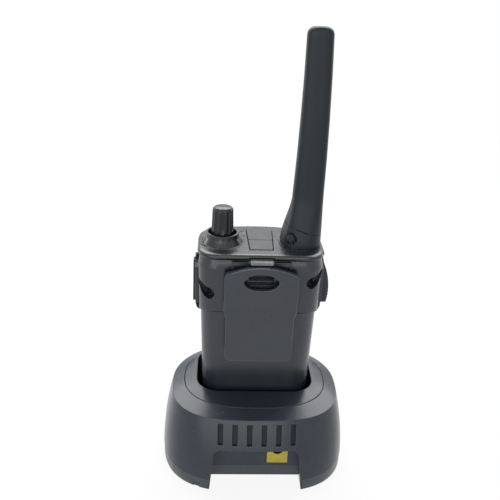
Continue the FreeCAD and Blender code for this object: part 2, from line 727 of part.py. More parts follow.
def front_housing():
    """The front shell with its window, key holes, grille and posts."""
    outside = lower_solid(0).cut(above_seam(0)).fuse(upper_solid(0).common(above_seam(0)))
    inside = lower_solid(WALL).fuse(upper_solid(WALL).common(above_seam(0)))
    shell = outside.cut(inside).cut(upper_solid(WALL).common(above_seam(0))).cut(behind_split(-SEAM))
    for x, z in front_screw_places():
        post = rod(2.4, (x, BODY_FRONT_Y + 1.0, z), REARWARD, board_front_y() - BODY_FRONT_Y - 1.0)
        shell = shell.fuse(post.cut(rod(0.9, (x, BODY_FRONT_Y + 2.5, z), REARWARD, FAR)))
    shell = shell.cut(upright_prism(WINDOW_HALF_X - 1.5, WINDOW_HALF_Z - 1.5, 2.0, BODY_FRONT_Y - 5, 10, 0, WINDOW_Z))
    shell = shell.cut(upright_prism(WINDOW_HALF_X, WINDOW_HALF_Z, WINDOW_CORNER, BODY_FRONT_Y - 5,
                                    5 + WINDOW_THICKNESS - UPPER_PROUD, 0, WINDOW_Z))
    for x in key_places():
        shell = shell.cut(upright_prism(KEY_HALF_X + GAP, KEY_HALF_Z + GAP, 1.5 + GAP, BODY_FRONT_Y - 5, 10, x, KEY_Z))
    for number in range(GRILLE_SLOTS):
        slot = upright_prism(GRILLE_HALF_X, GRILLE_SLOT / 2, GRILLE_SLOT / 2, BODY_FRONT_Y - 5, 8, 0, grille_height(number))
        shell = shell.cut(slot)
    shell = shell.cut(rod(0.6, (MIC_X, BODY_FRONT_Y - 5, mic_z()), REARWARD, 8))
    for x in (-CONTACT_X, CONTACT_X):
        shell = shell.cut(rod(CONTACT_RADIUS, (x, CONTACT_Y, 0), UP, BODY_BOTTOM_Z + WALL + 0.5))
    return shell


def mic_z():
    return KEY_Z - 2 * KEY_HALF_Z - MIC_RADIUS


def key_places():
    return [(number - (KEY_COUNT - 1) / 2) * KEY_PITCH for number in range(KEY_COUNT)]


def rear_housing():
    """The upper rear shell that carries the belt clip and side controls."""
    shell = upper_solid(0).common(above_seam(SEAM)).cut(upper_solid(WALL)).common(behind_split(0))
    shell = shell.cut(side_opening())
    shell = with_strap_pocket(shell, 1, STRAP_LEFT_Z)
    shell = with_strap_pocket(shell, -1, STRAP_RIGHT_Z)
    well_z = BRACKET_THROAT_BOTTOM_Z
    lining_y = UPPER_REAR_Y - WELL_DEPTH - WELL_WALL
    shell = shell.fuse(block((-WELL_HALF_X - WELL_WALL, lining_y, well_z - WELL_WALL),
                             (WELL_HALF_X + WELL_WALL, UPPER_REAR_Y - 1.0, WELL_TOP_Z + WELL_WALL)))
    shell = shell.cut(block((-WELL_HALF_X, UPPER_REAR_Y - WELL_DEPTH, well_z), (WELL_HALF_X, FAR, WELL_TOP_Z)))
    for x, z in rear_screw_places():
        post = rod(2.4, (x, board_rear_y(), z), REARWARD, UPPER_REAR_Y - 1.0 - board_rear_y())
        shell = shell.fuse(post).cut(rod(1.1, (x, board_rear_y() - 1, z), REARWARD, FAR))
        shell = shell.cut(rod(2.0, (x, UPPER_REAR_Y - 1.3, z), REARWARD, FAR))
    return shell


def battery_cover():
    """The lower rear shell, which closes the battery bay."""
    return lower_solid(0).cut(lower_solid(WALL)).cut(above_seam(-SEAM)).common(behind_split(0))


def cover_outline(half_x, half_y, z, inset=0.0):
    return rounded(half_x - inset, half_y - inset, BODY_CORNER - inset, z, 0, BODY_Y)


def rectangle_reach(turn, half_x, half_y, corner):
    """How far a rounded rectangle reaches from its middle in a direction."""
    cosine = abs(math.cos(turn))
    sine = abs(math.sin(turn))
    reach = min(half_x / cosine, half_y / sine)
    centre_x = half_x - corner
    centre_y = half_y - corner
    if reach * cosine > centre_x and reach * sine > centre_y:
        along = cosine * centre_x + sine * centre_y
        reach = along + math.sqrt(along ** 2 - centre_x ** 2 - centre_y ** 2 + corner ** 2)
    return reach


def deck_outline(inset, roundness, z):
    """The top cover's outline; its front is rounder nearer the deck."""
    half_x = UPPER_HALF_HIGH + COVER_LIP * 0.3 - inset
    half_y = UPPER_HALF_Y + COVER_LIP - inset
    points = []
    count = 88
    for step in range(count):
        turn = 2 * math.pi * (step + 0.5) / count
        cosine = math.cos(turn)
        sine = math.sin(turn)
        reach = rectangle_reach(turn, half_x, half_y, BODY_CORNER)
        oval = (abs(cosine / half_x) ** DECK_POWER + abs(sine / half_y) ** DECK_POWER) ** (-1 / DECK_POWER)
        reach += (oval - reach) * roundness * max(0.0, -sine) ** 0.5
        points.append(vector(reach * cosine, BODY_Y + reach * sine, z))
    curve = Part.BSplineCurve()
    curve.interpolate(Points=points, PeriodicFlag=True)
    return Part.Wire([curve.toShape()])


def top_cover_solid():
    """The deck and the rolled brow round it, with no holes."""
    foot_z = COVER_BOTTOM_Z + SEAM
    middle_z = (foot_z + TOP_Z) / 2
    outlines = []
    for section in range(BROW_SECTIONS + 1):
        turn = math.pi * (section / BROW_SECTIONS - 0.5)
        depth = TOP_EASE if turn > 0 else COVER_LIP + NECK
        rise = math.sin(turn)
        outlines.append(deck_outline(depth * (1 - math.cos(turn)), (rise + 1) / 2,
                                     middle_z + (TOP_Z - foot_z) / 2 * rise))
    return loft(outlines)


def deck_ring(outer, inner):
    """A low raised rim on the deck, ended at the deck's own edge."""
    deck = prism(deck_outline(TOP_EASE, 1.0, TOP_Z - 0.5), FAR)
    return outer.cut(inner).common(deck)


def deck_rims():
    """The rims round the antenna's boot and round the knob's collar."""
    low_z = TOP_Z - 0.5
    height = 0.5 + SEAT_HEIGHT
    centre_x, half_x, half_y, power = antenna_section(TOP_Z)
    outer = superellipse(half_x + SEAT_MARGIN, half_y + SEAT_MARGIN, power, low_z, centre_x, BOOT_Y)
    inner = superellipse(half_x + SEAM, half_y + SEAM, power, low_z, centre_x, BOOT_Y)
    knob_place = (KNOB_X, KNOB_Y, low_z)
    return [deck_ring(prism(outer, height), prism(inner, height)),
            deck_ring(rod(COLLAR_FOOT_RADIUS + SEAT_MARGIN, knob_place, UP, height),
                      rod(COLLAR_FOOT_RADIUS + SEAM, knob_place, UP, height))]


def jack_cover_outline(front_y, rear_y, margin, z):
    """The cover's outline: tapering sides and a rounded front end."""
    share = (JACK_COVER_REAR_Y - JACK_COVER_WIDE_Y)
    slope = (JACK_COVER_HALF_WIDE - JACK_COVER_HALF_REAR) / share

    def half(y):
        return JACK_COVER_HALF_REAR + (JACK_COVER_REAR_Y - y) * slope + margin

    points = [vector(half(rear_y), rear_y, z), vector(-half(rear_y), rear_y, z)]
    edges = [Part.makeLine(points[0], points[1])]
    side_y = max(front_y, JACK_COVER_WIDE_Y)
    left = vector(-half(side_y), side_y, z)
    right = vector(half(side_y), side_y, z)
    edges.append(Part.makeLine(points[1], left))
    if front_y < JACK_COVER_WIDE_Y:
        edges.append(Part.Arc(left, vector(0, front_y, z), right).toShape())
    else:
        edges.append(Part.makeLine(left, right))
    edges.append(Part.makeLine(right, points[0]))
    return Part.Wire(edges)


def jack_flap_y():
    return JACK_COVER_CREASE_Y - GAP


def top_cover():
    """The deck with seats for the knob, the jack cover and the antenna."""
    cover = top_cover_solid()
    room = prism(cover_outline(UPPER_HALF_HIGH, UPPER_HALF_Y, COVER_BOTTOM_Z, WALL), TOP_Z - WALL - COVER_BOTTOM_Z)
    cover = cover.cut(room)
    for rim in deck_rims():
        cover = cover.fuse(rim)
    seat_z = TOP_Z - JACK_COVER_THICKNESS
    seat = prism(jack_cover_outline(JACK_COVER_FRONT_Y - GAP, JACK_COVER_REAR_Y + GAP, GAP, seat_z), FAR)
    cover = cover.cut(seat)
    cover = cover.cut(rod(JACK_LARGE_RADIUS, (0, JACK_LARGE_Y, COVER_BOTTOM_Z), UP, FAR))
    cover = cover.cut(rod(JACK_SMALL_RADIUS, (0, JACK_SMALL_Y, COVER_BOTTOM_Z), UP, FAR))
    cover = cover.cut(rod(KNOB_TURN_SHAFT + 1.0, (KNOB_X, KNOB_Y, COVER_BOTTOM_Z), UP, FAR))
    cover = cover.cut(rod(ANTENNA_CORE_RADIUS + SEAM, (BLADE_WAIST_X, BOOT_Y, COVER_BOTTOM_Z), UP, FAR))
    for y in (MARK_FIRST_Y, MARK_SECOND_Y):
        cover = cover.cut(block((MARK_X - MARK_LENGTH / 2, y - MARK_WIDTH / 2, TOP_Z - MARK_DEPTH),
                                (MARK_X + MARK_LENGTH / 2, y + MARK_WIDTH / 2, FAR)))
    notch = block((-LATCH_HALF_X - LATCH_SIDE, UPPER_REAR_Y - LATCH_NOTCH, COVER_BOTTOM_Z),
                  (LATCH_HALF_X + LATCH_SIDE, FAR, LATCH_TOP_Z + LATCH_TRAVEL + GAP))
    return cover.cut(notch)


# ---- inside the radio -----------------------------------------------------
def circuit_board():
    half_x = BODY_HALF_BOTTOM - WALL - 0.6
    board = block((-half_x, board_front_y(), BODY_BOTTOM_Z + 5.0), (half_x, board_rear_y(), COVER_BOTTOM_Z - 2.0))
    for x, z in front_screw_places() + rear_screw_places():
        board = board.cut(rod(1.1, (x, board_front_y() - 1, z), REARWARD, 5))
    return board


def board_screws():
    """Four small screws through the board into the front posts."""
    screws = []
    for x, z in front_screw_places():
        head = rod(1.8, (x, board_rear_y(), z), REARWARD, 1.2)
        screws.append(head.fuse(rod(0.9, (x, board_front_y() - 5.0, z), REARWARD, BOARD_THICKNESS + 5.5)))
    return group(screws)


def housing_screws():
    """Two long screws under the clip bracket, from the rear to the board."""
    screws = []
    for x, z in rear_screw_places():
        head_y = UPPER_REAR_Y - 1.3
        head = rod(1.9, (x, head_y, z), REARWARD, 1.2)
        foot_y = board_front_y()
        screws.append(head.fuse(rod(1.0, (x, foot_y, z), REARWARD, head_y - foot_y + 0.2)))
    return group(screws)


def shield_can():
    top_z = rear_screw_places()[0][1] - 4.0
    return block((-16.0, board_rear_y(), top_z - 16.0), (12.0, board_rear_y() + 3.0, top_z))


def speaker():
    back_y = BODY_FRONT_Y + WALL + 0.6 + SPEAKER_DEPTH
    basket = rod(SPEAKER_RADIUS, (0, back_y - SPEAKER_DEPTH, GRILLE_Z), REARWARD, 2.2)
    magnet = rod(SPEAKER_RADIUS * 0.6, (0, back_y - SPEAKER_DEPTH, GRILLE_Z), REARWARD, SPEAKER_DEPTH)
    return basket.fuse(magnet)


def speaker_cloth():
    return rod(SPEAKER_RADIUS, (0, BODY_FRONT_Y + WALL, GRILLE_Z), REARWARD, 0.6)


def microphone():
    return rod(MIC_RADIUS, (MIC_X, BODY_FRONT_Y + WALL + 0.2, mic_z()), REARWARD,
               board_front_y() - BODY_FRONT_Y - WALL - 0.2)


def window_front_y():
    return BODY_FRONT_Y - UPPER_PROUD


def display_window():
    return upright_prism(WINDOW_HALF_X - SEAM, WINDOW_HALF_Z - SEAM, WINDOW_CORNER - SEAM,
                         window_front_y() + 0.2, WINDOW_THICKNESS - 0.2, 0, WINDOW_Z)


def display_module():
    front_y = window_front_y() + WALL + 0.4
    return block((-WINDOW_HALF_X + 1.0, front_y, WINDOW_Z - WINDOW_HALF_Z + 1.0),
                 (WINDOW_HALF_X - 1.0, board_front_y(), WINDOW_Z + WINDOW_HALF_Z - 1.0))


def keypad():
    """The rubber sheet with one dome under each front key."""
    half_x = KEY_COUNT * KEY_PITCH / 2
    sheet = block((-half_x, board_front_y() - 1.0, KEY_Z - KEY_HALF_Z - 0.8),
                  (half_x, board_front_y(), KEY_Z + KEY_HALF_Z + 0.8))
    for x in key_places():
        sheet = sheet.fuse(rod(1.8, (x, board_front_y() - 2.0, KEY_Z), REARWARD, 1.5))
    for x, z in front_screw_places():
        sheet = sheet.cut(rod(2.4 + GAP, (x, BODY_FRONT_Y, z), REARWARD, BODY_DEPTH))
    return sheet


def front_key(x):
    """One key: a cap in the front shell with a wider foot behind it."""
    cap = upright_prism(KEY_HALF_X, KEY_HALF_Z, 1.5, BODY_FRONT_Y - KEY_PROUD,
                        KEY_PROUD + WALL + GAP, x, KEY_Z)
    foot_y = BODY_FRONT_Y + WALL + GAP
    depth = board_front_y() - 2.0 - KEY_TRAVEL - GAP - foot_y
    return cap.fuse(upright_prism(KEY_HALF_X + 0.7, KEY_HALF_Z + 0.7, 1.5, foot_y, depth, x, KEY_Z))


def cell_y():
    return BODY_REAR_Y - WALL - GAP - CELL_RADIUS


def cell_top_z():
    return CELL_BOTTOM_Z + CELL_LENGTH


def battery_tray():
    """The plate and end walls that hold the cells off the electronics."""
    front_y = cell_y() - CELL_RADIUS - 0.3
    half_x = body_half(CELL_BOTTOM_Z) - WALL - SEAM
    low_z = CELL_BOTTOM_Z - 2.4
    high_z = cell_top_z() + 2.4
    rear_y = cell_y() + CELL_RADIUS - 2.0
    tray = block((-half_x, front_y - 1.5, low_z), (half_x, front_y, high_z))
    for z in (low_z, high_z - 1.6):
        tray = tray.fuse(block((-cells_half(), front_y - 0.5, z), (cells_half(), rear_y, z + 1.6)))
    return tray


def cells_half():
    return CELL_COUNT * (CELL_RADIUS + GAP / 2)


def battery_cells():
    cells = []
    for number in range(CELL_COUNT):
        x = (number - (CELL_COUNT - 1) / 2) * (2 * CELL_RADIUS + GAP)
        can = rod(CELL_RADIUS, (x, cell_y(), CELL_BOTTOM_Z), UP, CELL_LENGTH - 1.0)
        cells.append(can.fuse(rod(2.7, (x, cell_y(), CELL_BOTTOM_Z), UP, CELL_LENGTH)))
    return group(cells)


def battery_contacts():
    """Sprung strips between the cells' ends and the tray's end walls."""
    strips = []
    for z in (CELL_BOTTOM_Z - 0.8, cell_top_z() + 0.3):
        strips.append(block((-cells_half() + 1, cell_y() - 3, z), (cells_half() - 1, cell_y() + 3, z + 0.5)))
    return group(strips)


def radio_charge_contacts():
    return group([rod(CONTACT_RADIUS, (x, CONTACT_Y, BODY_BOTTOM_Z), UP, WALL + 1.5)
                  for x in (-CONTACT_X, CONTACT_X)])


def volume_control():
    top_z = TOP_Z - WALL
    body = block((KNOB_X - 5.5, KNOB_Y - 5.5, top_z - 8.0), (KNOB_X + 5.5, KNOB_Y + 5.5, top_z))
    return body.cut(rod(KNOB_TURN_SHAFT + RUNNING, (KNOB_X, KNOB_Y, top_z - 6.0), UP, FAR))


def accessory_jacks():
    top_z = TOP_Z - WALL
    body = block((-5.0, JACK_SMALL_Y - 3.2, top_z - JACK_DEPTH), (5.0, JACK_LARGE_Y + 3.8, top_z))
    body = body.cut(block((-FAR, board_front_y() - SEAM, -FAR), (FAR, board_rear_y() + SEAM, COVER_BOTTOM_Z - 1.9)))
    body = body.cut(rod(JACK_LARGE_RADIUS, (0, JACK_LARGE_Y, top_z - JACK_DEPTH + 2), UP, FAR))
    return body.cut(rod(JACK_SMALL_RADIUS, (0, JACK_SMALL_Y, top_z - JACK_DEPTH + 2), UP, FAR))


# ---- side controls --------------------------------------------------------
def side_inner_x():
    """Inner face of the side walls, where the side frames rest."""
    return UPPER_HALF_LOW - WALL - 1.0


def side_outer_x():
    return upper_half(side_middle_z())


def side_frame(direction, proud):
    """A frame through a side wall, with a lip that lies on the outside."""
    start = direction * side_inner_x()
    depth = direction * (side_outer_x() + proud - side_inner_x())
    corner = SIDE_HALF_Y - 1.0
    plug = side_prism(SIDE_HALF_Y, side_half_z(), corner, start, depth, SIDE_Y, side_middle_z())
    inside = side_prism(SIDE_HALF_Y - SIDE_FRAME, side_half_z() - SIDE_FRAME, corner - SIDE_FRAME,
                        start - direction, depth + 2 * direction, SIDE_Y, side_middle_z())
    lip_half_z = (SIDE_FLANGE_TOP_Z - SIDE_FLANGE_BOTTOM_Z) / 2
    lip_start = direction * (side_outer_x() - WALL)
    lip = side_prism(SIDE_FLANGE_HALF_Y, lip_half_z, SIDE_FLANGE_HALF_Y - 0.6, lip_start, direction * (proud + WALL),
                     SIDE_Y, SIDE_FLANGE_BOTTOM_Z + lip_half_z)
    lip = lip.cut(upper_solid(0)).cut(lower_solid(0))
    return plug.fuse(lip).cut(inside)


def side_panel():
    return side_frame(1, SIDE_PANEL_PROUD)


def talk_plate():
    return side_frame(-1, TALK_PLATE_PROUD)


def side_key_length():
    opening = 2 * (side_half_z() - SIDE_FRAME)
    return (opening - GAP * (SIDE_KEY_COUNT + 1)) / SIDE_KEY_COUNT


def side_key(number):
    """One of the keys in the left-hand panel, counted from the bottom."""
    length = side_key_length()
    bottom_z = SIDE_BOTTOM_Z + SIDE_FRAME + GAP + number * (length + GAP)
    half_y = SIDE_HALF_Y - SIDE_FRAME - GAP
    start = switch_face_x() + SIDE_KEY_TRAVEL + GAP
    depth = side_outer_x() + SIDE_KEY_PROUD - start
    return side_prism(half_y, length / 2, half_y * 0.7, start, depth, SIDE_Y, bottom_z + length / 2)


def switch_face_x():
    return side_inner_x() - 2.0


def talk_profile(y, start_x, low_z, high_z):
    """The button's side view, with its curved outer face as an arc."""
    wall_x = side_outer_x()
    arc = Part.Arc(vector(-wall_x - TALK_FOOT_PROUD, y, low_z), vector(-wall_x - TALK_PROUD, y, TALK_CREST_Z),
                   vector(-wall_x - TALK_TOP_PROUD, y, high_z)).toShape()
    corners = [vector(-wall_x - TALK_TOP_PROUD, y, high_z), vector(start_x, y, high_z), vector(start_x, y, low_z),
               vector(-wall_x - TALK_FOOT_PROUD, y, low_z)]
    edges = [Part.makeLine(a, b) for a, b in zip(corners, corners[1:])]
    return arc.Curve, Part.Wire([arc] + edges)


def talk_button():
    """The long push-to-talk button, domed, with ribs across its face."""
    half_y = SIDE_HALF_Y - SIDE_FRAME - GAP
    half_z = side_half_z() - SIDE_FRAME - GAP
    start = -(switch_face_x() + TALK_TRAVEL + GAP)
    low_z = side_middle_z() - half_z
    high_z = side_middle_z() + half_z
    circle, wire = talk_profile(SIDE_Y - half_y, start, low_z, high_z)
    body = Part.Face(wire).extrude(vector(0, 2 * half_y, 0))
    depth = -(side_outer_x() + TALK_PROUD + 1.0) - start
    button = body.common(side_prism(half_y, half_z, half_y - 0.8, start, depth, SIDE_Y, side_middle_z()))
    centre = circle.Center
    pitch = 2 * half_z * 0.8 / TALK_RIBS
    for number in range(TALK_RIBS + 1):
        z = side_middle_z() + (number - TALK_RIBS / 2) * pitch
        x = centre.x - math.sqrt(circle.Radius ** 2 - (z - centre.z) ** 2)
        button = button.cut(rod(TALK_RIB, (x, SIDE_Y - half_y - 1, z), REARWARD, 2 * half_y + 2))
    return button


def side_switches(direction):
    """A small board beside the main board with its switches."""
    face_x = switch_face_x()
    plate_x = face_x - SWITCH_HEIGHT
    low = (plate_x - SWITCH_BOARD, board_rear_y(), SIDE_BOTTOM_Z + 2.0)
    high = (plate_x, SIDE_Y + 4.0, SIDE_TOP_Z - 2.0)
    if direction < 0:
        low, high = (-high[0], low[1], low[2]), (-low[0], high[1], high[2])
    board = block(low, high)
    for offset in (-0.25, 0.25):
        z = side_middle_z() + offset * (SIDE_TOP_Z - SIDE_BOTTOM_Z)
        board = board.fuse(rod(1.7, (direction * (plate_x - 0.1), SIDE_Y, z), RIGHT * direction, SWITCH_HEIGHT + 0.1))
    return board


# ---- knob -----------------------------------------------------------------
def knob_collar():
    """The guard ring round the knob, on a flared foot."""
    height = COLLAR_TOP_Z - TOP_Z
    flare = Part.makeCone(COLLAR_FOOT_RADIUS, COLLAR_RADIUS, height * 0.55, vector(KNOB_X, KNOB_Y, TOP_Z))
    ring = rod(COLLAR_RADIUS, (KNOB_X, KNOB_Y, TOP_Z), UP, height)
    return flare.fuse(ring).cut(rod(COLLAR_RADIUS - COLLAR_WALL, (KNOB_X, KNOB_Y, TOP_Z - 1), UP, FAR))


def knob():
    """The fluted knob with a slightly domed top."""
    foot_z = TOP_Z + 1.2
    dome = 0.7
    body = Part.makeCone(KNOB_RADIUS_FOOT, KNOB_RADIUS_TOP, KNOB_TOP_Z - dome - foot_z, vector(KNOB_X, KNOB_Y, foot_z))
    for number in range(KNOB_FLUTES):
        turn = 2 * math.pi * number / KNOB_FLUTES
        reach = KNOB_RADIUS_FOOT + KNOB_FLUTE_RADIUS * 0.45
        place = (KNOB_X + reach * math.cos(turn), KNOB_Y + reach * math.sin(turn), COLLAR_TOP_Z - 1.0)
        body = body.cut(rod(KNOB_FLUTE_RADIUS, place, UP, FAR))
    cap = Part.makeCone(KNOB_RADIUS_TOP - 0.35, KNOB_RADIUS_TOP - 0.35 - dome, dome,
                        vector(KNOB_X, KNOB_Y, KNOB_TOP_Z - dome))
    body = body.fuse(cap)
    return body.cut(rod(KNOB_TURN_SHAFT, (KNOB_X, KNOB_Y, foot_z - 1), UP, KNOB_TOP_Z - foot_z - 3.0))


def control_shaft():
    foot_z = TOP_Z - WALL - 5.0
    return rod(KNOB_TURN_SHAFT, (KNOB_X, KNOB_Y, foot_z), UP, KNOB_TOP_Z - 4.0 - foot_z)


# ---- jack cover -----------------------------------------------------------
def jack_cover_anchor():
    """The fixed rear part of the rubber cover."""
    z = TOP_Z - JACK_COVER_THICKNESS
    wire = jack_cover_outline(JACK_COVER_CREASE_Y, JACK_COVER_REAR_Y, 0, z)
    return prism(wire, JACK_COVER_THICKNESS + JACK_COVER_PROUD)


def jack_cover_flap():
    """The part that lifts off the two accessory sockets."""
    z = TOP_Z - JACK_COVER_THICKNESS + 0.1
    whole = prism(jack_cover_outline(JACK_COVER_FRONT_Y, JACK_COVER_REAR_Y, 0, z),
                  JACK_COVER_THICKNESS + JACK_COVER_PROUD - 0.1)
    flap = whole.cut(block((-FAR, jack_flap_y(), -FAR), (FAR, FAR, FAR)))
    for radius, y in ((JACK_LARGE_RADIUS, JACK_LARGE_Y), (JACK_SMALL_RADIUS, JACK_SMALL_Y)):
        flap = flap.fuse(rod(radius - 0.7, (0, y, z - 1.2), UP, 1.3))
    return flap


# ---- antenna --------------------------------------------------------------
def antenna_section(z):
    """Centre, half sizes and squareness of the antenna at height z."""
    if z < BLADE_WAIST_Z:
        share = (BLADE_WAIST_Z - z) / (BLADE_WAIST_Z - TOP_Z)
        flare = share * share * (3 - 2 * share)
        half_x = BLADE_WAIST_HALF_X + (BOOT_HALF_X - BLADE_WAIST_HALF_X) * flare
        half_y = BLADE_WAIST_HALF_Y + (BOOT_HALF_Y - BLADE_WAIST_HALF_Y) * flare
        centre = BLADE_WAIST_X + (BOOT_X - BLADE_WAIST_X) * flare
        return centre, half_x, half_y, BLADE_POWER - 0.6 * flare
    share = (z - BLADE_WAIST_Z) / (BLADE_TIP_Z - BLADE_WAIST_Z)
    bow = 4 * share * (1 - share) * (BLADE_MIDDLE_X - (BLADE_WAIST_X + BLADE_TIP_X) / 2)
    centre = BLADE_WAIST_X + (BLADE_TIP_X - BLADE_WAIST_X) * share + bow
    half_x = BLADE_WAIST_HALF_X + (BLADE_TIP_HALF_X - BLADE_WAIST_HALF_X) * share
    half_y = BLADE_WAIST_HALF_Y + (BLADE_TIP_HALF_Y - BLADE_WAIST_HALF_Y) * share
    return centre, half_x, half_y, BLADE_POWER


def antenna_outline(z, level, shrink=0.0):
    """The section that belongs at one height, drawn at another."""
    centre, half_x, half_y, power = antenna_section(z)
    return superellipse(half_x - shrink, half_y - shrink * 0.5, power, level, centre, BOOT_Y)


def antenna_solid():
    """Boot and blade as one form, from the deck to the rounded tip."""
    shoulder_z = BLADE_TIP_Z - BLADE_TIP_ROUND
    flare_steps = 12
    heights = [TOP_Z + (BLADE_WAIST_Z - TOP_Z) * step / flare_steps for step in range(flare_steps)]
    blade_steps = 4
    heights += [BLADE_WAIST_Z + (shoulder_z - BLADE_WAIST_Z) * step / blade_steps for step in range(blade_steps + 1)]
    stem = loft([antenna_outline(z, z) for z in heights])
    outlines = []
    steps = 6
    for step in range(steps + 1):
        turn = math.radians(80) * step / steps
        rise = BLADE_TIP_ROUND * math.sin(turn) / math.sin(math.radians(80))
        outlines.append(antenna_outline(shoulder_z, shoulder_z + rise, BLADE_TIP_ROUND * (1 - math.cos(turn))))
    return stem.fuse(loft(outlines))


def above_slant(margin):
    """Everything above the slanting line where the blade meets the boot."""
    space = block((-FAR, -FAR, 0), (FAR, FAR, FAR))
    inner_centre, inner_half, _, _ = antenna_section(BOOT_INNER_Z)
    outer_centre, outer_half, _, _ = antenna_section(BOOT_OUTER_Z)
    outer_x = outer_centre - outer_half
    run = inner_centre + inner_half - outer_x
    lean = math.degrees(math.atan((BOOT_INNER_Z - BOOT_OUTER_Z) / run))
    space.rotate(vector(0, 0, 0), REARWARD, -lean)
    space.translate(vector(outer_x, 0, BOOT_OUTER_Z + margin))
    return space


def antenna_core_cut(clearance):
    foot_z = TOP_Z - WALL - 6.0
    return rod(ANTENNA_CORE_RADIUS + clearance, (BLADE_WAIST_X, BOOT_Y, foot_z), UP, BLADE_TIP_Z - 12.0 - foot_z)


def antenna_screw_y():
    """The screw's seat, sunk below the boot's curved rear face."""
    centre, half_x, half_y, power = antenna_section(ANTENNA_SCREW_Z)
    aside = abs((ANTENNA_SCREW_X - centre) / half_x) ** power
    return BOOT_Y + half_y * (1 - aside) ** (1 / power) - ANTENNA_SCREW_SINK


def antenna_boot():
    """The moulded foot of the antenna with its recessed screw."""
    boot = antenna_solid().cut(above_slant(-SEAM / 2)).cut(antenna_core_cut(SEAM))
    return boot.cut(rod(ANTENNA_SCREW_WELL, (ANTENNA_SCREW_X, antenna_screw_y(), ANTENNA_SCREW_Z), REARWARD, FAR))


def antenna_screw():
    head = rod(ANTENNA_SCREW_RADIUS, (ANTENNA_SCREW_X, antenna_screw_y(), ANTENNA_SCREW_Z), REARWARD, 1.1)
    cross_y = antenna_screw_y() + 0.6
    for half_x, half_z in ((1.2, 0.25), (0.25, 1.2)):
        head = head.cut(block((ANTENNA_SCREW_X - half_x, cross_y, ANTENNA_SCREW_Z - half_z),
                              (ANTENNA_SCREW_X + half_x, cross_y + 2, ANTENNA_SCREW_Z + half_z)))
    return head


def antenna_blade():
    return antenna_solid().common(above_slant(SEAM / 2)).cut(antenna_core_cut(SEAM))


def antenna_core():
    """The radiating rod inside the blade, down to its socket."""
    return antenna_core_cut(0)


# ---- belt clip ------------------------------------------------------------
def clip_bracket():
    """The base plate on the rear housing, with two ears for the pin."""
    height = COVER_BOTTOM_Z - BRACKET_BOTTOM_Z
    plate = upright_prism(BRACKET_HALF_X, height / 2, 1.0, UPPER_REAR_Y, BRACKET_PLATE, 0, BRACKET_BOTTOM_Z + height / 2)
    window_z = COVER_BOTTOM_Z - BRACKET_RAIL - BRACKET_WINDOW_HALF_Z
    for direction in (-1, 1):
        ear_x = direction * ear_inner_x()
        ear_top_y = CLIP_FACE_Y - CLIP_THICKNESS - GAP - 0.2
        ends = sorted((ear_x, ear_x + direction * BRACKET_EAR_WIDTH))
        ear = block((ends[0], UPPER_REAR_Y + 0.5, CLIP_PIN_Z - CLIP_LUG_RADIUS),
                    (ends[1], ear_top_y, CLIP_PIN_Z + CLIP_LUG_RADIUS))
        window_x = direction * (BRACKET_HALF_X - BRACKET_RAIL - BRACKET_WINDOW_HALF_X)
        window = upright_prism(BRACKET_WINDOW_HALF_X, BRACKET_WINDOW_HALF_Z, 0.4, UPPER_REAR_Y - 1, 5, window_x, window_z)
        plate = plate.fuse(ear).cut(window)
    throat_half = LATCH_HALF_X + LATCH_SIDE
    plate = plate.cut(block((-throat_half, 0, BRACKET_THROAT_BOTTOM_Z), (throat_half, FAR, FAR)))
    slot_half = ear_inner_x()
    plate = plate.cut(block((-slot_half, CLIP_PIN_Y - CLIP_LUG_RADIUS - GAP, CLIP_PIN_Z - 3.0),
                            (slot_half, FAR, CLIP_PIN_Z + 3.0)))
    return plate.cut(rod(CLIP_PIN_RADIUS, (-FAR / 2, CLIP_PIN_Y, CLIP_PIN_Z), RIGHT, FAR))


def ear_inner_x():
    return CLIP_LUG_X + CLIP_LUG_WIDTH + GAP


def clip_pin():
    half = ear_inner_x() + BRACKET_EAR_WIDTH
    return rod(CLIP_PIN_RADIUS, (-half, CLIP_PIN_Y, CLIP_PIN_Z), RIGHT, 2 * half)


def clip_spring():
    """The coil round the pin between the clip's lugs."""
    half = CLIP_LUG_X - GAP
    rings = []
    turns = 8
    pitch = 2 * half / turns
    for number in range(turns):
        x = -half + pitch * (number + 0.5)
        rings.append(Part.makeTorus(CLIP_PIN_RADIUS + 0.1 + pitch * 0.2, pitch * 0.2, vector(x, CLIP_PIN_Y, CLIP_PIN_Z), RIGHT))
    sleeve = tube(CLIP_PIN_RADIUS + 0.3, CLIP_PIN_RADIUS + 0.05, (-half, CLIP_PIN_Y, CLIP_PIN_Z), RIGHT, 2 * half)
    for ring in rings:
        sleeve = sleeve.fuse(ring)
    return sleeve.cut(rod(CLIP_PIN_RADIUS + 0.05, (-half - 1, CLIP_PIN_Y, CLIP_PIN_Z), RIGHT, FAR))


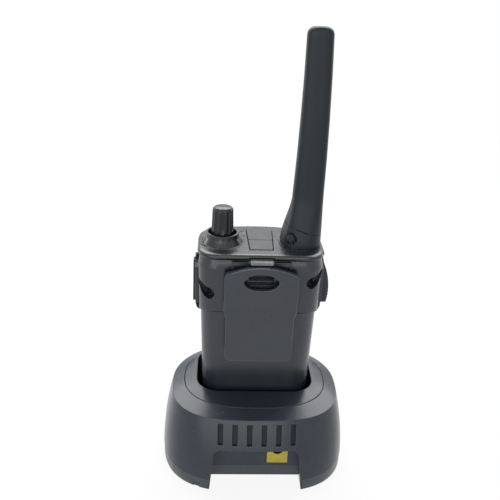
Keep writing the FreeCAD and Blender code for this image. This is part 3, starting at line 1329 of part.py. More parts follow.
def clip_outline(inner_y):
    """The clip's plate seen from behind: arched top, stepped-in lower part."""
    top = CLIP_SIDE_TOP_Z
    bend = CLIP_CORNER * (1 - math.sqrt(0.5))

    def place(x, z):
        return vector(x, inner_y, z)

    half = CLIP_HALF_TOP
    foot = CLIP_HALF_FOOT
    low = CLIP_BOTTOM_Z
    right = [Part.makeLine(place(foot, low + CLIP_CORNER), place(foot, CLIP_STEP_LOW_Z)),
             Part.makeLine(place(foot, CLIP_STEP_LOW_Z), place(half, CLIP_STEP_HIGH_Z)),
             Part.makeLine(place(half, CLIP_STEP_HIGH_Z), place(half, top - CLIP_CORNER)),
             Part.Arc(place(half, top - CLIP_CORNER), place(half - bend, top - bend), place(half - CLIP_CORNER, top)).toShape()]
    crown = Part.Arc(place(half - CLIP_CORNER, top), place(0, CLIP_TOP_Z), place(CLIP_CORNER - half, top)).toShape()
    left = [Part.Arc(place(CLIP_CORNER - half, top), place(bend - half, top - bend), place(-half, top - CLIP_CORNER)).toShape(),
            Part.makeLine(place(-half, top - CLIP_CORNER), place(-half, CLIP_STEP_HIGH_Z)),
            Part.makeLine(place(-half, CLIP_STEP_HIGH_Z), place(-foot, CLIP_STEP_LOW_Z)),
            Part.makeLine(place(-foot, CLIP_STEP_LOW_Z), place(-foot, low + CLIP_CORNER)),
            Part.Arc(place(-foot, low + CLIP_CORNER), place(bend - foot, low + bend), place(CLIP_CORNER - foot, low)).toShape()]
    base = [Part.makeLine(place(CLIP_CORNER - foot, low), place(foot - CLIP_CORNER, low)),
            Part.Arc(place(foot - CLIP_CORNER, low), place(foot - bend, low + bend), place(foot, low + CLIP_CORNER)).toShape()]
    return right + [crown] + left + base


def belt_clip():
    """The sprung plate that nips a belt, with its finger hole and lugs."""
    inner_y = CLIP_FACE_Y - CLIP_THICKNESS
    plate = plate_in_xz(clip_outline(inner_y), inner_y, CLIP_THICKNESS)
    hole = Part.Ellipse(vector(0, 0, 0), CLIP_HOLE_HALF_X, CLIP_HOLE_HALF_Z)
    face = Part.Face(Part.Wire([hole.toShape()]))
    face.rotate(vector(0, 0, 0), RIGHT, 90)
    face.translate(vector(0, inner_y - 2, CLIP_HOLE_Z))
    plate = plate.cut(face.extrude(vector(0, CLIP_THICKNESS + 4, 0)))
    rim_y = inner_y - CLIP_RIM
    rim = plate_in_xz(clip_outline(rim_y), rim_y, CLIP_RIM + 0.5)
    below = rim.copy()
    below.translate(vector(0, 0, -CLIP_RIM_HEIGHT))
    above_hole = block((-FAR, -FAR, CLIP_SIDE_TOP_Z - CLIP_CORNER), (FAR, FAR, FAR))
    plate = plate.fuse(rim.cut(below).common(above_hole))
    nib_half = CLIP_HALF_FOOT - CLIP_CORNER
    nib = block((-nib_half, inner_y - CLIP_CURL, CLIP_BOTTOM_Z), (nib_half, inner_y + 0.5, CLIP_BOTTOM_Z + 2.0))
    plate = plate.fuse(nib)
    for direction in (-1, 1):
        ends = sorted((direction * CLIP_LUG_X, direction * (CLIP_LUG_X + CLIP_LUG_WIDTH)))
        lug = rod(CLIP_LUG_RADIUS, (ends[0], CLIP_PIN_Y, CLIP_PIN_Z), RIGHT, CLIP_LUG_WIDTH)
        web = block((ends[0], CLIP_PIN_Y, CLIP_PIN_Z - CLIP_LUG_RADIUS),
                    (ends[1], inner_y + 0.5, CLIP_PIN_Z + CLIP_LUG_RADIUS))
        lug = lug.fuse(web)
        plate = plate.fuse(lug).cut(rod(CLIP_PIN_RADIUS + RUNNING, (ends[0] - 1, CLIP_PIN_Y, CLIP_PIN_Z), RIGHT,
                                        CLIP_LUG_WIDTH + 2))
    return plate


def clip_latch():
    """The tab under the brow that frees the clip, with its apron below."""
    face_y = CLIP_FACE_Y - CLIP_THICKNESS - LATCH_CLIP_GAP
    tab = block((-LATCH_HALF_X, UPPER_REAR_Y - LATCH_NOTCH + GAP, COVER_BOTTOM_Z + GAP),
                (LATCH_HALF_X, face_y, LATCH_TOP_Z))
    apron = block((-LATCH_HALF_X, UPPER_REAR_Y + GAP, LATCH_BOTTOM_Z), (LATCH_HALF_X, face_y, LATCH_TOP_Z))
    return tab.fuse(apron)


# ---- the whole object -----------------------------------------------------
def sub_parts():
    """Every node of the object by name."""
    parts = {
        "cradle_base_tray": cradle_base_tray(),
        "cradle_feet": cradle_feet(),
        "cradle_screws": cradle_screws(),
        "cradle_upper_shell": cradle_upper_shell(),
        "pocket_liner": pocket_liner(),
        "charge_lamp": charge_lamp(),
        "charger_board": charger_board(),
        "power_inlet": power_inlet(),
        "inlet_label": inlet_label(),
        "contact_block": contact_block(),
        "charge_pin_left": charge_pin(CONTACT_X),
        "charge_pin_right": charge_pin(-CONTACT_X),
        "front_housing": front_housing(),
        "rear_housing": rear_housing(),
        "battery_cover": battery_cover(),
        "top_cover": top_cover(),
        "circuit_board": circuit_board(),
        "board_screws": board_screws(),
        "housing_screws": housing_screws(),
        "shield_can": shield_can(),
        "speaker": speaker(),
        "speaker_cloth": speaker_cloth(),
        "microphone": microphone(),
        "display_window": display_window(),
        "display_module": display_module(),
        "keypad": keypad(),
        "battery_tray": battery_tray(),
        "battery_cells": battery_cells(),
        "battery_contacts": battery_contacts(),
        "radio_charge_contacts": radio_charge_contacts(),
        "volume_control": volume_control(),
        "accessory_jacks": accessory_jacks(),
        "side_panel": side_panel(),
        "side_switches_left": side_switches(1),
        "talk_plate": talk_plate(),
        "talk_button": talk_button(),
        "side_switches_right": side_switches(-1),
        "knob_collar": knob_collar(),
        "knob": knob(),
        "control_shaft": control_shaft(),
        "jack_cover_anchor": jack_cover_anchor(),
        "jack_cover_flap": jack_cover_flap(),
        "antenna_boot": antenna_boot(),
        "antenna_blade": antenna_blade(),
        "antenna_core": antenna_core(),
        "antenna_screw": antenna_screw(),
        "clip_bracket": clip_bracket(),
        "clip_pin": clip_pin(),
        "clip_spring": clip_spring(),
        "belt_clip": belt_clip(),
        "clip_latch": clip_latch(),
    }
    for number, x in enumerate(key_places(), start=1):
        parts[f"front_key_{number}"] = front_key(x)
    for number in range(SIDE_KEY_COUNT):
        parts[f"side_key_{number + 1}"] = side_key(number)
    return parts


def main():
    os.makedirs("parts", exist_ok=True)
    for name, shape in sub_parts().items():
        clean = shape.removeSplitter()
        clean.exportStep(f"parts/{name}.step")
        print(name, len(clean.Solids), "solids", round(clean.Volume, 1), "mm3", clean.isValid())


if __name__ == "__main__":
    main()
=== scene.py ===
"""A handheld two way radio in its charging cradle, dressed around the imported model.

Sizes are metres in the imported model's own frame: +Z up, +Y to the rear where the
belt clip and the power inlet are, +X towards the knob.
"""
import json
import logging
import math
from collections.abc import Callable
from dataclasses import dataclass
from enum import Enum

import bmesh
import bpy
from mathutils import Matrix, Vector
from mathutils.bvhtree import BVHTree


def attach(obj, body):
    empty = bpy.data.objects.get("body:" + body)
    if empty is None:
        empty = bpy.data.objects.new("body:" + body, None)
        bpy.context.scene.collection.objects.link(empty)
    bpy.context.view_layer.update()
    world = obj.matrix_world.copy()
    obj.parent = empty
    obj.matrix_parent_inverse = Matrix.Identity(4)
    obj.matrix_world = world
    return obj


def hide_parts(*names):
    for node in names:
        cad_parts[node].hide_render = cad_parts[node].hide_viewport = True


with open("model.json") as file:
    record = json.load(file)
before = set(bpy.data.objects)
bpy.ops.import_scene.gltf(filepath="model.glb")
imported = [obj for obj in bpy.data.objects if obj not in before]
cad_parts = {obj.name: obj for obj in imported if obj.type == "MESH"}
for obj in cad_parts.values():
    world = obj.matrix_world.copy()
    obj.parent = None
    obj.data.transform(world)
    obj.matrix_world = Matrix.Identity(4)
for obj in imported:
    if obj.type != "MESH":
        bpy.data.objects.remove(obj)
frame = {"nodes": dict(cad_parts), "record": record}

log = logging.getLogger("two_way_radio")
MM = 0.001
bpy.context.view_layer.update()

Colour = tuple[float, float, float]
Point = tuple[float, float, float]

# A colour Mix node's own sockets, whose names its other sockets share.
MIX_FIRST, MIX_SECOND, MIX_RESULT = 6, 7, 2
# How well the rounded normal agrees with the plain one, on a flat face and on an edge.
FLAT_MATCH, EDGE_MATCH = 0.992, 0.9
WHITE = (1, 1, 1, 1)


# ---- shader graphs ---------------------------------------------------------
class Reading:
    """A value in a shader graph that Python's arithmetic works on."""

    def __init__(self, graph: "Graph", socket: bpy.types.NodeSocket) -> None:
        """Wraps one output socket.

        Args:
            graph: the graph that the socket belongs to.
            socket: the output that gives the value.
        """
        self.graph = graph
        self.socket = socket

    def combine(self, operation: str, first: object, second: object) -> "Reading":
        """Adds a Math node.

        Args:
            operation: the Math node's operation.
            first: its first operand, a reading or a number.
            second: its second operand.

        Returns:
            The node's result.
        """
        node = self.graph.add("ShaderNodeMath", {"operation": operation}, {0: first, 1: second})
        return Reading(self.graph, node.outputs[0])

    def __add__(self, other: object) -> "Reading":
        """Sum."""
        return self.combine("ADD", self, other)

    def __radd__(self, other: object) -> "Reading":
        """Sum, with this on the right."""
        return self.combine("ADD", other, self)

    def __sub__(self, other: object) -> "Reading":
        """Difference."""
        return self.combine("SUBTRACT", self, other)

    def __rsub__(self, other: object) -> "Reading":
        """Difference, with this on the right."""
        return self.combine("SUBTRACT", other, self)

    def __mul__(self, other: object) -> "Reading":
        """Product."""
        return self.combine("MULTIPLY", self, other)

    def __rmul__(self, other: object) -> "Reading":
        """Product, with this on the right."""
        return self.combine("MULTIPLY", other, self)

    def between(self, low: float, high: float) -> "Reading":
        """Maps low to 0 and high to 1, with nothing beyond.

        Args:
            low: the value that gives 0.
            high: the value that gives 1.

        Returns:
            The mapped value.
        """
        inputs = {"Value": self, "From Min": low, "From Max": high}
        node = self.graph.add("ShaderNodeMapRange", {"clamp": True}, inputs)
        return Reading(self.graph, node.outputs[0])


class Graph:
    """One material and the nodes in it."""

    def __init__(self, name: str) -> None:
        """Starts a material with only its output and its surface shader.

        Args:
            name: the material's name.
        """
        self.material = bpy.data.materials.new(name)
        self.material.use_nodes = True
        self.nodes = self.material.node_tree.nodes
        self.links = self.material.node_tree.links
        self.surface = self.nodes["Principled BSDF"]

    @classmethod
    def of_tree(cls, tree: bpy.types.NodeTree) -> "Graph":
        """Wraps a node tree that stands already, such as the world's.

        Args:
            tree: the node tree.

        Returns:
            A graph that adds its nodes there.
        """
        graph = cls.__new__(cls)
        graph.nodes = tree.nodes
        graph.links = tree.links
        return graph

    def add(self, kind: str, settings: dict[str, object], inputs: dict[object, object]) -> bpy.types.Node:
        """Adds any node.

        Args:
            kind: the node's type.
            settings: its properties, set before its inputs.
            inputs: values or links by socket name or number.

        Returns:
            The new node.
        """
        node = self.nodes.new(kind)
        for key, value in settings.items():
            setattr(node, key, value)
        for key, value in inputs.items():
            self.feed(node.inputs[key], value)
        return node

    def feed(self, socket: bpy.types.NodeSocket, value: object) -> None:
        """Links or sets one input.

        Args:
            socket: the input.
            value: a reading, an output socket or a plain value.
        """
        if isinstance(value, Reading):
            value = value.socket
        if isinstance(value, bpy.types.NodeSocket):
            self.links.new(value, socket)
        else:
            socket.default_value = value

    def place(self, stretch: Point = (1, 1, 1)) -> bpy.types.NodeSocket:
        """Object coordinates, stretched along the axes.

        Args:
            stretch: the factor along each axis.

        Returns:
            The coordinates' output.
        """
        coordinates = self.add("ShaderNodeTexCoord", {}, {}).outputs["Object"]
        return self.add("ShaderNodeMapping", {}, {"Vector": coordinates, "Scale": stretch}).outputs[0]

    def noise(self, size: float, detail: float, stretch: Point = (1, 1, 1)) -> Reading:
        """Noise around 0.5.

        Args:
            size: the size of a blotch in metres.
            detail: how much finer noise is on it.
            stretch: the factor along each axis.

        Returns:
            The noise.
        """
        inputs = {"Vector": self.place(stretch), "Scale": 1 / size, "Detail": detail}
        node = self.add("ShaderNodeTexNoise", {}, inputs)
        return Reading(self, node.outputs["Fac"])

    def cells(self, size: float, stretch: Point = (1, 1, 1)) -> Reading:
        """Distance to the nearest of many scattered points, for a moulded grain.

        Args:
            size: the spacing of the points in metres.
            stretch: the factor along each axis.

        Returns:
            The distance, 0 at a point.
        """
        node = self.add("ShaderNodeTexVoronoi", {}, {"Vector": self.place(stretch), "Scale": 1 / size})
        return Reading(self, node.outputs["Distance"])

    def edge(self, radius: float) -> Reading:
        """Finds the edges, which handling wears and polishes, and where the plastics' lighter edges are also
        a painted highlight.

        Args:
            radius: how far an edge reaches, in metres.

        Returns:
            0 on a flat face, rising to 1 on an edge.
        """
        rounded = self.add("ShaderNodeBevel", {"samples": 6}, {"Radius": radius}).outputs[0]
        plain = self.add("ShaderNodeNewGeometry", {}, {}).outputs["Normal"]
        match = self.add("ShaderNodeVectorMath", {"operation": "DOT_PRODUCT"}, {0: rounded, 1: plain})
        return Reading(self, match.outputs["Value"]).between(FLAT_MATCH, EDGE_MATCH)

    def blend(self, share: Reading, low: object, high: object) -> bpy.types.NodeSocket:
        """Mixes two colours, each given as numbers or as a socket.

        Args:
            share: 0 for the first, 1 for the second.
            low: the first colour.
            high: the second colour.

        Returns:
            The mixed colour.
        """
        first, second = ((*colour, 1) if isinstance(colour, tuple) else colour for colour in (low, high))
        inputs = {"Factor": share, MIX_FIRST: first, MIX_SECOND: second}
        return self.add("ShaderNodeMix", {"data_type": "RGBA"}, inputs).outputs[MIX_RESULT]

    def relief(self, height: Reading, depth: float) -> bpy.types.NodeSocket:
        """Turns heights into a bump.

        Args:
            height: the height, 0 to 1.
            depth: how far 1 stands up, in metres.

        Returns:
            The bumped normal.
        """
        inputs = {"Height": height, "Distance": depth, "Strength": 1.0}
        return self.add("ShaderNodeBump", {}, inputs).outputs[0]

    def finish(self, **inputs: object) -> bpy.types.Material:
        """Sets the surface shader's inputs.

        Args:
            inputs: values or links by socket name, with _ for a space.

        Returns:
            The material.
        """
        for key, value in inputs.items():
            self.feed(self.surface.inputs[key.replace("_", " ")], value)
        return self.material


def shade(colour: Colour, factor: float) -> Colour:
    """A colour made darker or lighter.

    Args:
        colour: the colour.
        factor: what each channel is multiplied by.

    Returns:
        The new colour.
    """
    return tuple(min(1.0, channel * factor) for channel in colour)


# ---- finishes --------------------------------------------------------------
@dataclass(frozen=True)
class MouldedPlastic:
    """Moulded plastic: spark-eroded grain, faint flow blotches and lighter edges, which are wear from
    handling and a painted highlight.
    """

    name: str
    colour: Colour
    roughness: float = 0.45
    grain: float = 0.45 * MM
    depth: float = 0.02 * MM
    specular: float = 0.5
    edge_lightening: float = 0.45
    blotch_size: float = 14 * MM
    smear_size: float = 3 * MM
    edge_patch_size: float = 2.5 * MM
    edge_reach: float = 0.9 * MM
    # Darker and lighter blotches, and the lighter edges, which are wear and a painted highlight.
    tones: tuple[float, float, float] = (0.93, 1.09, 2.4)

    def make(self) -> bpy.types.Material:
        """Builds the material.

        Returns:
            The material.
        """
        graph = Graph(self.name)
        darker, lighter, polished_and_highlit = (shade(self.colour, tone) for tone in self.tones)
        blotch = graph.noise(self.blotch_size, 4)
        smear = graph.noise(self.smear_size, 5)
        patches = graph.noise(self.edge_patch_size, 3).between(0.3, 0.6) * 0.6 + 0.4
        # Lighter edges: wear from handling and a painted highlight.
        worn_and_highlit = graph.edge(self.edge_reach) * patches
        plain = graph.blend(blotch.between(0.35, 0.65), darker, lighter)
        colour = graph.blend(worn_and_highlit * self.edge_lightening, plain, polished_and_highlit)
        grain = graph.cells(self.grain) * 0.6 + graph.noise(self.grain * 1.7, 3) * 0.8
        rough = (smear - 0.5) * 0.1 + (blotch - 0.5) * 0.06 - worn_and_highlit * 0.08 + self.roughness
        return graph.finish(Base_Color=colour, Roughness=rough, Normal=graph.relief(grain, self.depth),
                            Specular_IOR_Level=self.specular)


@dataclass(frozen=True)
class MouldedRubber:
    """Matt rubber with a soft skin and handling marks."""

    name: str
    colour: Colour
    roughness: float = 0.6
    depth: float = 0.012 * MM
    stretch: Point = (1, 1, 1)
    specular: float = 0.32
    edge_lightening: float = 0.4
    mark_size: float = 6 * MM
    skin_size: float = 0.5 * MM
    dimple_size: float = 2.2 * MM
    edge_reach: float = 0.4 * MM
    tones: tuple[float, float, float] = (0.88, 1.14, 2.2)

    def make(self) -> bpy.types.Material:
        """Builds the material.

        Returns:
            The material.
        """
        graph = Graph(self.name)
        darker, lighter, rubbed = (shade(self.colour, tone) for tone in self.tones)
        marks = graph.noise(self.mark_size, 5, self.stretch)
        plain = graph.blend(marks.between(0.38, 0.68), darker, lighter)
        colour = graph.blend(graph.edge(self.edge_reach) * self.edge_lightening, plain, rubbed)
        skin = graph.noise(self.skin_size, 4) + graph.noise(self.dimple_size, 3) * 0.6
        rough = (marks - 0.5) * 0.22 + self.roughness
        return graph.finish(Base_Color=colour, Roughness=rough, Normal=graph.relief(skin, self.depth),
                            Specular_IOR_Level=self.specular)


@dataclass(frozen=True)
class TurnedMetal:
    """Bare metal with fine brushing along one axis."""

    name: str
    colour: Colour
    roughness: float = 0.32
    stretch: Point = (1, 1, 20)
    streak_size: float = 2.5 * MM
    streak_depth: float = 0.006 * MM
    tarnish_size: float = 3 * MM
    tarnish: float = 0.85

    def make(self) -> bpy.types.Material:
        """Builds the material.

        Returns:
            The material.
        """
        graph = Graph(self.name)
        streaks = graph.noise(self.streak_size, 4, self.stretch)
        clean = graph.noise(self.tarnish_size, 4).between(0.3, 0.7)
        colour = graph.blend(clean, shade(self.colour, self.tarnish), self.colour)
        rough = (streaks - 0.5) * 0.2 + self.roughness
        return graph.finish(Base_Color=colour, Metallic=1.0, Roughness=rough,
                            Normal=graph.relief(streaks, self.streak_depth))


@dataclass(frozen=True)
class CoatedSticker:
    """A bare coated sticker, soiled in patches."""

    name: str
    colour: Colour
    roughness: float = 0.4
    soil_size: float = 2.4 * MM
    soil: float = 0.8
    fibre_size: float = 0.25 * MM
    fibre_depth: float = 0.006 * MM

    def make(self) -> bpy.types.Material:
        """Builds the material.

        Returns:
            The material.
        """
        graph = Graph(self.name)
        soiled = graph.noise(self.soil_size, 5).between(0.45, 0.75)
        colour = graph.blend(soiled, self.colour, shade(self.colour, self.soil))
        fibre = graph.relief(graph.noise(self.fibre_size, 3), self.fibre_depth)
        return graph.finish(Base_Color=colour, Roughness=soiled * 0.2 + self.roughness, Normal=fibre)


@dataclass(frozen=True)
class ClearPlastic:
    """A tinted clear moulding, seen as a dark gloss where nothing is behind it."""

    name: str
    colour: Colour
    see_through: float
    roughness: float = 0.04
    coat: float = 0.6
    haze_size: float = 5 * MM
    haze: float = 1.3

    def make(self) -> bpy.types.Material:
        """Builds the material.

        Returns:
            The material.
        """
        graph = Graph(self.name)
        hazy = graph.noise(self.haze_size, 4)
        colour = graph.blend(hazy.between(0.3, 0.7), self.colour, shade(self.colour, self.haze))
        return graph.finish(Base_Color=colour, Roughness=hazy * 0.12 + self.roughness,
                            Alpha=1 - self.see_through, Coat_Weight=self.coat)


@dataclass(frozen=True)
class CircuitLaminate:
    """Board laminate with a web of darker tracks."""

    name: str
    colour: Colour
    roughness: float = 0.35
    track_pitch: float = 3.2 * MM
    track_depth: float = 0.03 * MM
    stretch: Point = (1, 1, 2)
    track_tone: float = 0.6

    def make(self) -> bpy.types.Material:
        """Builds the material.

        Returns:
            The material.
        """
        graph = Graph(self.name)
        tracks = graph.cells(self.track_pitch, self.stretch).between(0.32, 0.36)
        colour = graph.blend(tracks, self.colour, shade(self.colour, self.track_tone))
        return graph.finish(Base_Color=colour, Roughness=self.roughness,
                            Normal=graph.relief(tracks, self.track_depth))


@dataclass(frozen=True)
class WovenCloth:
    """Speaker cloth with an open weave."""

    name: str
    colour: Colour
    roughness: float = 0.85
    thread_pitch: float = 0.6 * MM
    thread_depth: float = 0.1 * MM
    tones: tuple[float, float] = (1.6, 0.5)

    def make(self) -> bpy.types.Material:
        """Builds the material.

        Returns:
            The material.
        """
        graph = Graph(self.name)
        thread, gap = (shade(self.colour, tone) for tone in self.tones)
        weave = graph.cells(self.thread_pitch).between(0.1, 0.6)
        return graph.finish(Base_Color=graph.blend(weave, thread, gap), Roughness=self.roughness,
                            Normal=graph.relief(weave, self.thread_depth))


# What a finish's name adds to its record slot's, where one slot has more than one finish.
VARIANT_ENDINGS = ("_blackened", "_smooth", "_shaded", "_worn")


class Finish(Enum):
    """Every surface finish on the object, named after its record slot."""

    CRADLE = MouldedPlastic("cradle_plastic", (0.038, 0.045, 0.059), 0.25, 0.45 * MM, 0.02 * MM, 0.34)
    POCKET = MouldedPlastic("cradle_plastic_smooth", (0.028, 0.034, 0.045), 0.24, 0.5 * MM, 0.006 * MM, 0.32)
    CRADLE_TRAY = MouldedPlastic("cradle_tray_plastic", (0.05, 0.058, 0.072), 0.32, 0.5 * MM, 0.02 * MM)
    FOOT_RUBBER = MouldedRubber("foot_rubber", (0.03, 0.03, 0.032), 0.75)
    STEEL = TurnedMetal("steel", (0.56, 0.56, 0.57))
    SCREW = TurnedMetal("steel_blackened", (0.06, 0.06, 0.065), 0.4)
    LAMP = ClearPlastic("lamp_clear", (0.4, 0.05, 0.04), 0.25)
    BOARD = CircuitLaminate("board_green", (0.03, 0.16, 0.07))
    SOCKET = MouldedPlastic("socket_black", (0.012, 0.012, 0.014), 0.35, 0.3 * MM, 0.01 * MM)
    # The vents' insides: darker than the shell, a painted shade.
    VENT = MouldedPlastic("cradle_plastic_shaded", (0.012, 0.014, 0.018), 0.6, 0.5 * MM, 0.01 * MM, 0.3)
    LABEL = CoatedSticker("label_yellow", (0.62, 0.5, 0.07))
    BRASS = TurnedMetal("contact_brass", (0.75, 0.58, 0.28), 0.28)
    BODY = MouldedPlastic("radio_plastic", (0.016, 0.02, 0.029), 0.22, 0.35 * MM, 0.008 * MM, 0.62, 0.8)
    DECK = MouldedPlastic("deck_plastic", (0.014, 0.016, 0.019), 0.27, 0.45 * MM, 0.02 * MM, 0.5, 0.9)
    SPEAKER = MouldedPlastic("speaker_grey", (0.2, 0.2, 0.2), 0.5)
    CLOTH = WovenCloth("cloth_black", (0.02, 0.02, 0.02))
    WINDOW = ClearPlastic("window_clear", (0.05, 0.055, 0.055), 0.35)
    JACK_RUBBER = MouldedRubber("key_rubber_smooth", (0.03, 0.032, 0.036), 0.32, 0.005 * MM)
    KEY_RUBBER = MouldedRubber("key_rubber", (0.034, 0.036, 0.04), 0.5)
    CELL_WRAP = MouldedPlastic("cell_wrap", (0.1, 0.25, 0.2), 0.25)
    KNOB = MouldedPlastic("knob_plastic", (0.012, 0.014, 0.017), 0.24, 0.3 * MM, 0.008 * MM, 0.36)
    SHAFT = TurnedMetal("shaft_metal", (0.7, 0.7, 0.7), 0.25)
    ANTENNA = MouldedRubber("antenna_rubber", (0.008, 0.013, 0.0165), 0.5, 0.01 * MM, (1, 1, 0.35))
    # The latch is a far lighter grey than the body plastic it shares a slot with: a painted highlight for the
    # light its top catches.
    LATCH = MouldedPlastic("radio_plastic_worn", (0.24, 0.247, 0.256), 0.3, 0.35 * MM, 0.008 * MM)
    # The clip's edges are lightened most: wear, and a painted highlight along its sides.
    CLIP = MouldedPlastic("clip_plastic", (0.026, 0.031, 0.042), 0.3, 0.4 * MM, 0.008 * MM, 0.58, 1.6)

    @property
    def slot(self) -> str:
        """The record's material slot.

        Returns:
            The slot's name.
        """
        name = self.value.name
        for ending in VARIANT_ENDINGS:
            name = name.removesuffix(ending)
        return name

    @property
    def material(self) -> bpy.types.Material:
        """The one material of this finish, built on first use.

        Returns:
            The material.
        """
        built = bpy.data.materials.get("finish_" + self.value.name)
        if built is None:
            built = self.value.make()
            built.name = "finish_" + self.value.name
        return built


SLOT_FINISH = {finish.value.name: finish for finish in Finish}


# ---- helpers for modelling -------------------------------------------------
# Two corners of a solid closer than this are one.
MERGED = 0.001 * MM
# Faces that turn by less than this are one flat face.
FLAT_TURN = math.radians(0.4)
# Edges that turn by more than the first are rounded; past the second they are shaded crisp.
ROUNDED_TURN = math.radians(32)
CRISP_TURN = math.radians(40)
# How far the larger faces lead the shading, out of 100.
FACE_WEIGHT = 50
# A rounding that throws a corner off the surface by more than this share of its width is made again.
STRAY_SHARE = 0.6
SOFTEN_TRIES = 7


def deselect_all() -> None:
    """Leaves object mode with nothing selected."""
    if bpy.context.object and bpy.context.object.mode != "OBJECT":
        bpy.ops.object.mode_set(mode="OBJECT")
    bpy.ops.object.select_all(action="DESELECT")


def activate(piece: bpy.types.Object) -> None:
    """Selects one piece alone and makes it active.

    Args:
        piece: the piece.
    """
    deselect_all()
    piece.select_set(True)
    bpy.context.view_layer.objects.active = piece


def settle(piece: bpy.types.Object) -> None:
    """Puts a piece's place, turn and scale into its mesh.

    Args:
        piece: the piece.
    """
    activate(piece)
    bpy.ops.object.transform_apply(location=True, rotation=True, scale=True)


def apply_modifier(piece: bpy.types.Object, kind: str, **settings: object) -> None:
    """Adds a modifier and applies it.

    Args:
        piece: the piece.
        kind: the modifier's type.
        settings: its properties.
    """
    modifier = piece.modifiers.new(kind.lower(), kind)
    for key, value in settings.items():
        setattr(modifier, key, value)
    activate(piece)
    bpy.ops.object.modifier_apply(modifier=modifier.name)


def crisp_edges(mesh: bmesh.types.BMesh, least: float) -> list[bmesh.types.BMEdge]:
    """Finds the edges worth rounding.

    Args:
        mesh: the piece's mesh.
        least: an edge with a face narrower than this beside it is left out.

    Returns:
        The crisp edges whose neighbours leave room for a rounding.
    """
    wide = {face for face in mesh.faces if face.calc_area() > least * face.calc_perimeter() / 2}
    return [edge for edge in mesh.edges
            if len(edge.link_faces) == 2 and edge.calc_face_angle(0) > ROUNDED_TURN
            and all(face in wide for face in edge.link_faces)]


def soften(piece: bpy.types.Object, width: float, segments: int, room: float) -> None:
    """Rounds every crisp edge that has room for it and shades the rest smooth.

    Where a rounding throws corners off the surface, the edges around them are left crisp and
    the whole piece is rounded again, each time with a wider reach.

    Args:
        piece: the piece.
        width: the bevel's width in metres.
        segments: how many faces go round the bevel.
        room: how many widths of room an edge needs on each side to be rounded.
    """
    plain = piece.data.copy()
    barred: set[int] = set()
    for attempt in range(1, SOFTEN_TRIES + 1):
        mesh = bmesh.new()
        mesh.from_mesh(plain)
        weight = mesh.edges.layers.float.new("bevel_weight_edge")
        surface = BVHTree.FromBMesh(mesh)
        for edge in crisp_edges(mesh, width * room):
            edge[weight] = float(edge.index not in barred)
        mesh.to_mesh(piece.data)
        apply_modifier(piece, "BEVEL", width=width, segments=segments, limit_method="WEIGHT",
                       use_clamp_overlap=False, harden_normals=False)
        corners = [(vertex.co, surface.find_nearest(vertex.co)[3]) for vertex in piece.data.vertices]
        astray = [(place, away) for place, away in corners if away > width * STRAY_SHARE]
        for place, away in astray:
            reach = attempt * away + (attempt + 1) * width
            barred.update(edge.index for vertex in mesh.verts if (vertex.co - place).length < reach
                          for edge in vertex.link_edges)
        mesh.free()
        if not astray:
            break
        log.info("%s: %d corners astray after try %d", piece.name, len(astray), attempt)
    bpy.data.meshes.remove(plain)
    smooth(piece)


def smooth(piece: bpy.types.Object) -> None:
    """Shades all but the crisp edges smooth, with the large faces kept flat.

    Args:
        piece: the piece.
    """
    activate(piece)
    bpy.ops.object.shade_smooth_by_angle(angle=CRISP_TURN)
    apply_modifier(piece, "WEIGHTED_NORMAL", keep_sharp=True, weight=FACE_WEIGHT)


def from_solid(node: str, name: str) -> bpy.types.Object:
    """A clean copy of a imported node's surface, to be finished further.

    Args:
        node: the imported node.
        name: the new piece's name.

    Returns:
        The copy, merged, with its flat faces whole.
    """
    piece = bpy.data.objects.new(name, frame["nodes"][node].data.copy())
    bpy.context.scene.collection.objects.link(piece)
    piece.data.materials.clear()
    activate(piece)
    bpy.ops.object.mode_set(mode="EDIT")
    bpy.ops.mesh.select_all(action="SELECT")
    bpy.ops.mesh.remove_doubles(threshold=MERGED)
    bpy.ops.mesh.dissolve_limited(angle_limit=FLAT_TURN)
    bpy.ops.object.mode_set(mode="OBJECT")
    return piece


def dress(piece: bpy.types.Object, finish: Finish, body: str, *nodes: str) -> bpy.types.Object:
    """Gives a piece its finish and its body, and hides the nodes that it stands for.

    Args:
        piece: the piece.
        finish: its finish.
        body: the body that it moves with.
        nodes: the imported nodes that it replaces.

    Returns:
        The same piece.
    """
    piece.data.materials.clear()
    piece.data.materials.append(finish.material)
    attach(piece, body)
    if nodes:
        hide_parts(*nodes)
    log.info("%s: %d faces, %s", piece.name, len(piece.data.polygons), finish.slot)
    return piece


# ---- sub-assemblies --------------------------------------------------------
@dataclass(frozen=True)
class Edging:
    """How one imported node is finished: its edges rounded, or only shaded where the width is 0."""

    node: str
    width: float
    segments: int = 3
    room: float = 1.0
    shape: Callable[[bpy.types.Object], None] | None = None

    def build(self, finish: Finish, body: str) -> bpy.types.Object:
        """Makes the finished piece.

        Args:
            finish: its finish.
            body: the body that it moves with.

        Returns:
            The piece.
        """
        piece = from_solid(self.node, self.node + "_moulded")
        if self.shape:
            self.shape(piece)
        if self.width:
            soften(piece, self.width, self.segments, self.room)
        else:
            smooth(piece)
        return dress(piece, finish, body, self.node)


